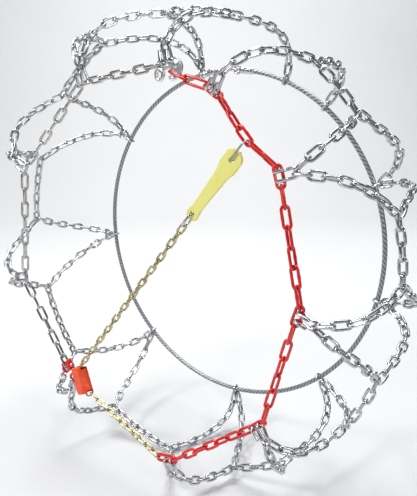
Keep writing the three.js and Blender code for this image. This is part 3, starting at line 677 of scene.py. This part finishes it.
def corner_stop(index):
    """The side chain's link that a corner's hook holds, kept against the hooked wire."""
    corner = corners[index]
    roll = math.radians(corner["roll"])
    reach = (SIDE_WIDE - SIDE_WIRE) / 2
    inwards = corner["way"] * math.cos(roll) + OUTWARDS * math.sin(roll)
    return {"at": corner["wire"] - inwards * reach, "along": corner["across"], "roll": -corner["roll"]}


def side_chain(mesh, stops, seed):
    for stop in stops:
        if "along" in stop and not stop.get("bare"):
            side_link(mesh, stop["at"], stop["along"], stop["roll"])
    for number, (a, b) in enumerate(zip(stops, stops[1:])):
        start = a["at"] + a["along"] * HOLD if "along" in a else a["at"]
        end = b["at"] - b["along"] * HOLD if "along" in b else b["at"]
        side_run(mesh, start, end, a["roll"] + 90, b["roll"] - 90, f"{seed} {number}")


line_way = in_wheel(LINE_ANGLE)
line_up = in_wheel(LINE_ANGLE + 90)


def on_line(distance):
    return LINE_START + line_way * distance


caught_way = Vector((0.667, 0, -0.745)).normalized()
caught = on_line(HOOK_POINT + 0.0008)
caught.y = SIDE_Y
caught -= caught_way * CAUGHT_AWAY
closing_at = Vector((0.087, SIDE_Y, 0.243))
closing_way = (corners[1]["point"] - closing_at).normalized()
end_link_at = corners[5]["point"]
end_link_way = corners[5]["across"]

red = Mesh()
side_chain(red, [
    {"at": closing_at, "along": closing_way, "roll": 90},
    corner_stop(1),
    {"at": caught, "along": caught_way, "roll": 0},
    corner_stop(2),
    corner_stop(3),
    corner_stop(4),
    {"at": end_link_at, "along": end_link_way, "roll": 0, "bare": True},
], "red")
red.build("red_side_links", RED_COAT, "fitted_net", "red_side_chain")

lock_ears = Vector((-0.1525, SIDE_Y, -0.189))
lock_to_silver = (corners[7]["point"] - lock_ears).normalized()
pin_link_at = lock_ears + lock_to_silver * (SIDE_INNER / 2 - 0.0026)
silver = Mesh()
side_chain(silver, [
    {"at": pin_link_at, "along": lock_to_silver, "roll": 90},
    corner_stop(7),
    corner_stop(8),
    corner_stop(9),
    {"at": corners[0]["point"], "along": corners[0]["across"], "roll": 0, "bare": True},
], "silver")
silver.build("silver_side_links", SIDE_ZINC, "fitted_net", "silver_side_chain")

# ---------- Solid mesh helpers ----------


def slab(outline, low, high, matrix=None):
    """A flat piece from its outline in XY and its two heights."""
    count = len(outline)
    area = sum(a[0] * b[1] - b[0] * a[1] for a, b in zip(outline, outline[1:] + outline[:1]))
    around = outline if area > 0 else list(reversed(outline))
    points = [Vector((x, y, low)) for x, y in around] + [Vector((x, y, high)) for x, y in around]
    faces = [tuple(reversed(range(count))), tuple(range(count, 2 * count))]
    for k in range(count):
        m = (k + 1) % count
        faces.append((k, m, count + m, count + k))
    return ([matrix @ p for p in points] if matrix else points), faces


def box_slab(x, y, z, wide, long, tall, matrix=None):
    outline = [(x - wide / 2, y - long / 2), (x + wide / 2, y - long / 2)]
    outline += [(x + wide / 2, y + long / 2), (x - wide / 2, y + long / 2)]
    return slab(outline, z - tall / 2, z + tall / 2, matrix)


def disc_slab(x, y, radius, low, high, matrix=None, steps=32):
    outline = []
    for k in range(steps):
        turn = 2 * math.pi * k / steps
        outline.append((x + radius * math.cos(turn), y + radius * math.sin(turn)))
    return slab(outline, low, high, matrix)


def ball(centre, x, y, z):
    rows, sides = 10, 20
    points = [centre + Vector((0, 0, -z))]
    for i in range(1, rows):
        tilt = math.pi * i / rows - math.pi / 2
        for k in range(sides):
            turn = 2 * math.pi * k / sides
            flat = Vector((x * math.cos(turn), y * math.sin(turn), 0)) * math.cos(tilt)
            points.append(centre + flat + Vector((0, 0, z * math.sin(tilt))))
    points.append(centre + Vector((0, 0, z)))
    last = len(points) - 1
    faces = [(0, 1 + (k + 1) % sides, 1 + k) for k in range(sides)]
    for i in range(rows - 2):
        for k in range(sides):
            m = (k + 1) % sides
            a = 1 + i * sides
            faces.append((a + k, a + m, a + sides + m, a + sides + k))
    top = 1 + (rows - 2) * sides
    faces += [(last, top + k, top + (k + 1) % sides) for k in range(sides)]
    return points, faces


def temporary(points, faces):
    mesh = bpy.data.meshes.new("part")
    mesh.from_pydata([tuple(point) for point in points], [], faces)
    return in_scene("part", mesh)


def evaluated(piece):
    bpy.context.view_layer.update()
    finished = bpy.data.meshes.new_from_object(piece.evaluated_get(bpy.context.evaluated_depsgraph_get()))
    bpy.data.objects.remove(piece)
    return finished


def softened(name, added, cut, grain, rounds, material, body, *nodes):
    """Parts joined into one solid, others cut away, and its edges worn round like a casting's."""
    whole = Mesh()
    for part in added:
        whole.add(*part)
    piece = temporary(whole.points, whole.faces)
    first = piece.modifiers.new("joined", "REMESH")
    first.mode = "VOXEL"
    first.voxel_size = grain
    cutters = []
    for part in cut:
        cutter = temporary(*part)
        taken = piece.modifiers.new("cut", "BOOLEAN")
        taken.operation = "DIFFERENCE"
        taken.solver = "EXACT"
        taken.object = cutter
        cutters.append(cutter)
    if cut:
        second = piece.modifiers.new("joined_again", "REMESH")
        second.mode = "VOXEL"
        second.voxel_size = grain
    soft = piece.modifiers.new("soft", "SMOOTH")
    soft.factor = 0.5
    soft.iterations = rounds
    mesh = evaluated(piece)
    for cutter in cutters:
        bpy.data.objects.remove(cutter)
    for polygon in mesh.polygons:
        polygon.use_smooth = True
    mesh.name = name
    return placed(name, mesh, material, body, *nodes)


def smooth_curve(points, steps=6, closed=False):
    """Points joined by a flowing curve that passes through every one of them."""
    count = len(points)
    result = []
    for i in range(count if closed else count - 1):
        if closed:
            p = [points[(i + k - 1) % count] for k in range(4)]
        else:
            p = [points[min(max(i + k - 1, 0), count - 1)] for k in range(4)]
        for k in range(steps):
            t = k / steps
            result.append(0.5 * (
                2 * p[1] + (p[2] - p[0]) * t + (2 * p[0] - 5 * p[1] + 4 * p[2] - p[3]) * t * t
                + (3 * p[1] - p[0] - 3 * p[2] + p[3]) * t * t * t
            ))
    return result if closed else result + [points[-1]]


# ---------- Closing hook ----------

CLOSING_OUTLINE = [
    (54, 251), (62, 252.5), (77.5, 253.5), (79, 260), (83, 265.5), (88.5, 262), (93.5, 255), (93, 247),
    (88, 241), (81, 237.5), (75, 238.5), (73.5, 242), (77, 244.5), (78.6, 247.5), (76.5, 250.8),
    (70, 249.8), (66, 248), (60, 247),
]
EYE_AT = Vector((0.058, SIDE_Y, 0.245))
NOSE = Vector((0.0795, SIDE_Y, 0.2396))
EYE_RING_R = 0.0056

in_wheel_plane = axes(Vector((0, SIDE_Y, 0)), Vector((1, 0, 0)), Vector((0, 0, 1)))
outline = smooth_curve([Vector((x / 1000, z / 1000)) for x, z in CLOSING_OUTLINE], 3, closed=True)
eye_ring = []
for k in range(24):
    turn = 2 * math.pi * k / 24
    eye_ring.append(EYE_AT + Vector((math.cos(turn), 0, 1.15 * math.sin(turn))) * EYE_RING_R)
softened(
    "closing_hook_forging",
    [
        slab([tuple(point) for point in outline], -0.0021, 0.0021, in_wheel_plane),
        sweep(eye_ring, 0.0027, 12, closed=True, up=Vector((0, 1, 0))),
        ball(NOSE, 0.0065, 0.0042, 0.0032),
        ball(Vector((0.0845, SIDE_Y, 0.2555)), 0.0062, 0.0034, 0.0062),
    ],
    [],
    0.00042, 9, FORGED, "fitted_net", "closing_hook",
)
top_link = Mesh()
side_link(top_link, corners[0]["point"], corners[0]["across"])
top_link.build("closing_hook_link", SIDE_ZINC, "fitted_net", "closing_hook")

# ---------- End link ----------

END_LINK_EXTRA = 0.008

end_link = Mesh()
end_link.add(
    *link_mesh(SIDE_INNER + END_LINK_EXTRA, SIDE_WIDE + 0.0008, SIDE_WIRE + 0.0007, 12),
    axes(end_link_at + end_link_way * (END_LINK_EXTRA / 2), end_link_way, OUTWARDS.cross(end_link_way)),
)
end_link.build("red_end_link_wire", RED_COAT, "fitted_net", "red_end_link")

# ---------- Tension line ----------

TENSION_LINK_INNER = 0.020
TENSION_LINK_WIDE = 0.0155
TENSION_LINK_WIRE = 0.003
HOLE_PLAY = 0.001

tension_link_at = on_line(SMALL_HOLE - TENSION_LINK_INNER / 2 - HOLE_PLAY)
last_wire = SMALL_HOLE - HOLE_PLAY - TENSION_LINK_INNER + TENSION_WIRE / 2
upper_path = [on_line(0.001).lerp(on_line(last_wire), k / 60) for k in range(61)]
upper = Mesh()
chain(upper, upper_path, [OUTWARDS] * 61, TENSION_PITCH, TENSION_WIDE, TENSION_WIRE, 45, 45, "upper")
upper.build("tension_links_upper", YELLOW_ZINC, "tension_line", "tension_chain_upper")

loop = Mesh()
loop.add(
    *link_mesh(TENSION_LINK_INNER, TENSION_LINK_WIDE, TENSION_LINK_WIRE, 14),
    axes(tension_link_at, line_way, OUTWARDS),
)
loop.build("tension_link_loop", GALVANISED, "tension_line", "tension_link")

STRAP_THICK = 0.005
STRAP_HOLE_R = 0.0032
STRAP_ROUNDING = 0.0011
STRAP_LONG = BIG_HOLE - SMALL_HOLE
# Distance along the strap from its small hole, and its half width there, in millimetres.
STRAP_WIDTHS = [
    (-8.8, 0), (-8.3, 2.9), (-6.9, 5.5), (-4.6, 7.5), (-1.6, 8.65), (1.4, 8.7), (4.4, 8.1), (7.6, 7.4),
    (12, 7.05), (18, 7.1), (30, 7.6), (45, 8.3), (58, 8.9), (66, 9.4), (70.5, 10.2), (75, 11.6),
    (79, 12.3), (92.6, 12.3), (95.8, 11.75), (98.6, 10.1), (100.7, 7.6), (101.9, 4.6), (102.1, 0),
]


def strap_mesh():
    upper_edge = [Vector((x / 1000, y / 1000)) for x, y in STRAP_WIDTHS]
    lower_edge = [Vector((p.x, -p.y)) for p in reversed(upper_edge[1:-1])]
    edge = smooth_curve(upper_edge + lower_edge, 5, closed=True)
    curve = bpy.data.curves.new("strap", "CURVE")
    curve.dimensions = "2D"
    curve.fill_mode = "BOTH"
    curve.extrude = STRAP_THICK / 2 - STRAP_ROUNDING
    curve.bevel_depth = STRAP_ROUNDING
    curve.bevel_resolution = 4
    curve.offset = -STRAP_ROUNDING
    rings = [edge]
    for x in (0, STRAP_LONG):
        ring = []
        for k in range(40):
            turn = -2 * math.pi * k / 40
            ring.append(Vector((x + STRAP_HOLE_R * math.cos(turn), STRAP_HOLE_R * math.sin(turn))))
        rings.append(ring)
    for ring in rings:
        spline = curve.splines.new("POLY")
        spline.points.add(len(ring) - 1)
        for point, place in zip(spline.points, ring):
            point.co = (place.x, place.y, 0, 1)
        spline.use_cyclic_u = True
    return evaluated(in_scene("strap", curve))


strap = strap_mesh()
strap.transform(axes(on_line(SMALL_HOLE), line_way, line_up))
for polygon in strap.polygons:
    polygon.use_smooth = polygon.area < 0.00002
placed("tension_strap_moulding", strap, STRAP_YELLOW, "strap", "tension_strap")

STRAP_HOOK_WIRE = 0.0026
STRAP_HOOK_LIFT = STRAP_THICK / 2 + STRAP_HOOK_WIRE / 2 + 0.0004
tip = HOOK_POINT - BIG_HOLE
hook_way = [
    (0.011, -STRAP_HOOK_LIFT - 0.0024), (0.007, -STRAP_HOOK_LIFT - 0.0013),
    (0.003, -STRAP_HOOK_LIFT - 0.0003),
    (0.0006, -STRAP_HOOK_LIFT * 0.7), (0, -0.001), (0, 0.001), (0.0006, STRAP_HOOK_LIFT * 0.7),
    (0.003, STRAP_HOOK_LIFT), (0.012, STRAP_HOOK_LIFT + 0.0004), (tip - 0.007, STRAP_HOOK_LIFT + 0.0008),
    (tip - 0.003, STRAP_HOOK_LIFT + 0.0003), (tip - 0.0006, STRAP_HOOK_LIFT * 0.6), (tip, 0), (tip, -0.004),
]
hook_frame = axes(on_line(BIG_HOLE), line_way, line_up)
hook_line = smooth_curve([hook_frame @ Vector((x, 0, z)) for x, z in hook_way], 6)
caught_hook = Mesh()
caught_hook.add(*sweep(hook_line, STRAP_HOOK_WIRE / 2, 14, up=line_up))
caught_hook.build("strap_hook_wire", GALVANISED, "hook", "strap_hook")

# ---------- Lock ----------

LOCK_TURN = 19
LOCK_CENTRE = Vector((-0.118, SIDE_Y, -0.200))
lock_frame = axes(LOCK_CENTRE, in_wheel(LOCK_TURN), in_wheel(LOCK_TURN + 90))
COVER_FOOT = -0.0026
COVER_WALL = 0.0018
# Along the cover from its middle, half width, how far its right edge flares, and its ridge's place.
COVER_STATIONS = [
    (-0.021, 0.0106, 0.0018, 0.20), (-0.0195, 0.0110, 0.0020, 0.25), (-0.014, 0.0110, 0.0012, 0.45),
    (-0.006, 0.0110, 0.0003, 0.58), (0.004, 0.0109, 0, 0.60), (0.012, 0.0107, 0, 0.66),
    (0.0185, 0.0102, 0, 0.72), (0.021, 0.0094, 0, 0.74),
]


def cover_section(half, flare, ridge, inset, height):
    rise = height - inset
    return [
        (-half + inset, 0), (half + flare - inset, 0), (half + flare * 0.8 - inset, rise * 0.32),
        (half * ridge, rise), (-half * 0.84, rise * 0.97), (-half + inset, rise * 0.86),
    ]


def cover_solid(inset, deeper=0.0):
    """The cover's filled shape, drawn in by inset and going deeper below its foot."""
    points, faces = [], []
    for number, (along, half, flare, ridge) in enumerate(COVER_STATIONS):
        end = number in (0, len(COVER_STATIONS) - 1)
        height = 0.0132 if end else 0.014
        for x, z in cover_section(half, flare, ridge, inset, height):
            sunk = COVER_FOOT - deeper if z == 0 else COVER_FOOT + z
            reach = along - math.copysign(inset, along) if end else along
            points.append(lock_frame @ Vector((x, reach, sunk)))
    sides = 6
    for i in range(len(COVER_STATIONS) - 1):
        for k in range(sides):
            m = (k + 1) % sides
            faces.append((i * sides + k, (i + 1) * sides + k, (i + 1) * sides + m, i * sides + m))
    faces.append(tuple(range(sides)))
    last = (len(COVER_STATIONS) - 1) * sides
    faces.append(tuple(reversed(range(last, last + sides))))
    return points, faces


def lock_box(x, y, z, wide, long, tall):
    return box_slab(x, y, z + COVER_FOOT, wide, long, tall, lock_frame)


softened(
    "lock_cover_moulding",
    [cover_solid(0)],
    [
        cover_solid(COVER_WALL, 0.003),
        lock_box(0.009, 0.021, 0.002, 0.014, 0.009, 0.013),
        lock_box(0.009, -0.021, 0.002, 0.014, 0.009, 0.013),
        lock_box(-0.011, -0.0045, 0, 0.008, 0.030, 0.012),
    ],
    0.00045, 5, LOCK_RED, "fitted_net", "lock_cover",
)

BASE_TOP = -0.003
BASE_THICK = 0.002
ROLLER = Vector((0.0005, -0.001))
ROLLER_BORE = 0.0022
PAWL = Vector((-0.0055, 0.010))
PAWL_BORE = 0.0019
ear_up = OUTWARDS.cross(lock_to_silver)
ear_frame = axes(lock_ears, lock_to_silver, ear_up)
base_middle = BASE_TOP - BASE_THICK / 2
softened(
    "lock_body_plate",
    [
        box_slab(0, -0.001, base_middle, 0.020, 0.040, BASE_THICK, lock_frame),
        box_slab(-0.016, 0.016, base_middle, 0.016, 0.006, BASE_THICK, lock_frame),
        box_slab(-0.009, -0.012, BASE_TOP + 0.001, 0.007, 0.007, 0.005, lock_frame),
    ],
    [
        disc_slab(ROLLER.x, ROLLER.y, ROLLER_BORE, -0.008, 0, lock_frame),
        disc_slab(PAWL.x, PAWL.y, PAWL_BORE, -0.008, 0, lock_frame),
    ],
    0.0004, 3, RED_COAT, "fitted_net", "lock_body",
)
lugs = []
for side in (1, -1):
    flat = axes(lock_ears + ear_up * 0.007 * side, lock_to_silver, OUTWARDS)
    lugs.append(disc_slab(0, 0, 0.0065, -0.002, 0.002, flat))
    lugs.append(box_slab(0.0048, 0.007 * side, -0.0005, 0.0096, 0.004, 0.009, ear_frame))
lugs.append(box_slab(0.009, 0, -0.001, 0.003, 0.018, 0.008, ear_frame))
softened("lock_body_lugs", lugs, [], 0.00045, 8, RED_COAT, "fitted_net", "lock_body")

pin = Mesh()
pin_line = [lock_ears + ear_up * (-0.0102 + 0.0204 * k / 8) for k in range(9)]
pin.add(*sweep(pin_line, [0.0030] + [0.002] * 7 + [0.0030], 16, up=OUTWARDS))
pin.build("lock_body_pin", GALVANISED, "fitted_net", "lock_body")

bail_points = [
    (-0.008, -0.014, -0.0043), (-0.008, -0.020, -0.0043), (-0.0078, -0.0235, -0.0038),
    (-0.0062, -0.0262, -0.0026), (0, -0.0275, -0.0015), (0.0062, -0.0262, -0.0026),
    (0.0078, -0.0235, -0.0038), (0.008, -0.020, -0.0043), (0.008, -0.014, -0.0043),
]
bail = Mesh()
bail.add(*sweep(smooth_curve([lock_frame @ Vector(p) for p in bail_points], 5), 0.0015, 14, up=OUTWARDS))
bail.build("lock_body_bail", YELLOW_ZINC, "fitted_net", "lock_body")

held_link = Mesh()
side_link(held_link, corners[6]["point"], corners[6]["across"])
held_link.build("lock_body_link", RED_COAT, "fitted_net", "lock_body")

for name in ("lock_roller", "lock_pawl", "lock_roller_pin", "lock_pawl_pin", "lock_spring"):
    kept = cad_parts[name]
    kept.data.materials.clear()
    kept.data.materials.append(DARK_STEEL if name in ("lock_roller", "lock_pawl") else GALVANISED)

inlet_end = on_line(0.001 + TENSION_WIRE)
inlet_turn = lock_frame @ Vector((0.0012, 0.0199, 0.0015))
inlet_path = [lock_frame @ Vector((-0.0015, 0.0078, 0.002)), inlet_turn, inlet_end]
inlet = Mesh()
chain(inlet, inlet_path, [OUTWARDS] * 3, TENSION_PITCH, TENSION_WIDE, TENSION_WIRE, 45, 135, "inlet")
inlet.build("tension_links_inlet", YELLOW_ZINC, "fitted_net", "tension_chain_lower")

lower_start = lock_frame @ Vector((0.0046, -0.0238, -0.0030))
lower_end = end_link_at + end_link_way * (SIDE_INNER / 2 + END_LINK_EXTRA - TENSION_WIRE / 2)
lower_path = [lower_start.lerp(lower_end, k / 40) for k in range(41)]
lower = Mesh()
chain(lower, lower_path, [OUTWARDS] * 41, TENSION_PITCH, TENSION_WIDE, TENSION_WIRE, 45, 90, "lower")
lower.build("tension_links_lower", YELLOW_ZINC, "fitted_net", "tension_chain_lower")

# ---------- Inner cable ----------

CABLE_FROM = 97
CABLE_TO = 443
CABLE_STEPS = 240
SLEEVE_R = 0.0056
SLEEVE_LONG = 0.020
SLEEVE_GRIP = 0.014
LAY_LENGTH = 0.011

cable_points = []
for k in range(CABLE_STEPS + 1):
    cable_angle = CABLE_FROM + (CABLE_TO - CABLE_FROM) * k / CABLE_STEPS
    cable_points.append(wheel_point(CABLE_R, CABLE_Y, cable_angle))
cable = Mesh()
cable_sides = 16
cable_vertices, cable_faces = sweep(cable_points, CABLE_THICK / 2, cable_sides, round_ends=False)
cable_uvs = []
cable_long = math.radians(CABLE_TO - CABLE_FROM) * CABLE_R
for k in range(CABLE_STEPS + 1):
    for side in range(cable_sides):
        cable_uvs.append((side / cable_sides * 2 - 1, cable_long * k / CABLE_STEPS / LAY_LENGTH))
cable.add(cable_vertices, cable_faces, None, cable_uvs)
cable.build("inner_cable_sheath", SHEATH, "fitted_net", "inner_cable")


def cable_end(angle, way):
    """The last point of the cable and the direction it leaves in."""
    step = (CABLE_TO - CABLE_FROM) / 48
    end = wheel_point(CABLE_R, CABLE_Y, angle)
    inner = wheel_point(CABLE_R, CABLE_Y, angle - way * step)
    return end, (end - inner).normalized()


def sleeve(end, way):
    line, radii = [], []
    count = 40
    for k in range(count + 1):
        share = k / count
        line.append(end + way * (share * SLEEVE_LONG - SLEEVE_GRIP))
        mouth = 0.12 * math.exp(-((share / 0.05) ** 2)) + 0.25 * math.exp(-(((1 - share) / 0.05) ** 2))
        pressed = 0.10 * math.exp(-(((share - 0.28) / 0.07) ** 2))
        pressed += 0.10 * math.exp(-(((share - 0.52) / 0.07) ** 2))
        radii.append(SLEEVE_R * (1 - mouth - pressed))
    return sweep(line, radii, 20, round_ends=True)


right_end, right_way = cable_end(CABLE_TO, 1)
left_end, left_way = cable_end(CABLE_FROM, -1)
right_tip = right_end + right_way * (SLEEVE_LONG - SLEEVE_GRIP)
left_tip = left_end + left_way * (SLEEVE_LONG - SLEEVE_GRIP)
EYE_R = 0.006
FITTING_WIRE = 0.0036
eye_middle = right_tip + Vector((-0.006, 0, 0.0005))
eye_loop = []
for k in range(36):
    turn = 2 * math.pi * k / 36
    eye_loop.append(eye_middle + Vector((math.cos(turn), 0, math.sin(turn))) * EYE_R)
eye = Mesh()
eye.add(*sleeve(right_end, right_way))
eye.add(*sweep(eye_loop, FITTING_WIRE / 2, 14, closed=True, up=Vector((0, 1, 0))))
eye.build("cable_eye_fitting", GALVANISED, "fitted_net", "cable_eye")

caught_wire = eye_middle + Vector((-EYE_R, 0, 0))
hook_path = [left_tip + Vector((-0.002, 0, 0)), left_tip + Vector((0.003, -0.001, 0.0002))]
hook_path.append(caught_wire + Vector((-0.005, -0.0038, 0)))
for k in range(9):
    turn = -math.pi / 2 + math.pi * k / 8
    hook_path.append(caught_wire + Vector((math.cos(turn), math.sin(turn), 0)) * 0.0044)
hook_path.append(caught_wire + Vector((-0.005, 0.0044, 0)))
fitting = Mesh()
fitting.add(*sleeve(left_end, left_way))
fitting.add(*sweep(smooth_curve(hook_path, 4), FITTING_WIRE / 2, 14, up=Vector((0, 0, 1))))
fitting.build("cable_hook_fitting", GALVANISED, "fitted_net", "cable_hook")

# ---------- Stage and light ----------

FLOOR_Z = cad_box[0].z - 0.001
BACKDROP_AWAY = 2.2
BACKDROP_BEND = 1.4
STAGE_HALF = 7

# The floor runs back from the camera and bends up into a wall.
behind = Vector((-back.x, -back.y, 0)).normalized()
sideways = Vector((behind.y, -behind.x, 0))
profile = [(-4.0, 0.0), (BACKDROP_AWAY, 0.0)]
for k in range(1, 13):
    turn = math.pi / 2 * k / 12
    rise = BACKDROP_BEND * (1 - math.cos(turn))
    profile.append((BACKDROP_AWAY + BACKDROP_BEND * math.sin(turn), rise))
profile.append((BACKDROP_AWAY + BACKDROP_BEND, 7.0))
stage_points, stage_faces = [], []
for along, height in profile:
    for share in (-STAGE_HALF, STAGE_HALF):
        place = behind * along + sideways * share
        stage_points.append((place.x, place.y, FLOOR_Z + height))
for k in range(len(profile) - 1):
    stage_faces.append((2 * k, 2 * k + 1, 2 * k + 3, 2 * k + 2))
floor_mesh = bpy.data.meshes.new("floor")
floor_mesh.from_pydata(stage_points, [], stage_faces)
for polygon in floor_mesh.polygons:
    polygon.use_smooth = True
floor = in_scene("floor", floor_mesh)
floor_nodes = Nodes("floor_pale")
floor_nodes.link(
    floor_nodes.ramp(floor_nodes.noise(2, 2), [(0.2, (0.66, 0.665, 0.67)), (0.8, (0.69, 0.695, 0.70))]),
    floor_nodes.shader.inputs["Base Color"],
)
floor_nodes.shader.inputs["Roughness"].default_value = 0.95
floor_nodes.shader.inputs["Specular IOR Level"].default_value = 0.1
floor_mesh.materials.append(floor_nodes.material)

bpy.context.scene.view_settings.view_transform = "Standard"

world = bpy.data.worlds.new("studio")
bpy.context.scene.world = world
world.use_nodes = True
world.node_tree.nodes["Background"].inputs["Color"].default_value = (0.92, 0.94, 1.0, 1)
world.node_tree.nodes["Background"].inputs["Strength"].default_value = 0.14


def area_light(name, at, aim, size, power):
    data = bpy.data.lights.new(name, "AREA")
    data.size = size
    data.energy = power
    lamp = in_scene(name, data)
    lamp.location = at
    lamp.rotation_euler = (Vector(aim) - Vector(at)).to_track_quat("-Z", "Y").to_euler()


area_light("key", (-0.9, -1.9, 1.7), (0, 0, 0), 0.6, 42)
area_light("fill", (2.2, -0.9, 0.9), (0, 0, 0), 0.5, 15)
area_light("top", (0.2, 0.1, 2.4), (0, 0, 0), 0.8, 20)
wall_middle = behind * 2.9
area_light("wall", (behind.x * 1.2, behind.y * 1.2, 2.6), (wall_middle.x, wall_middle.y, 0.5), 2.5, 105)
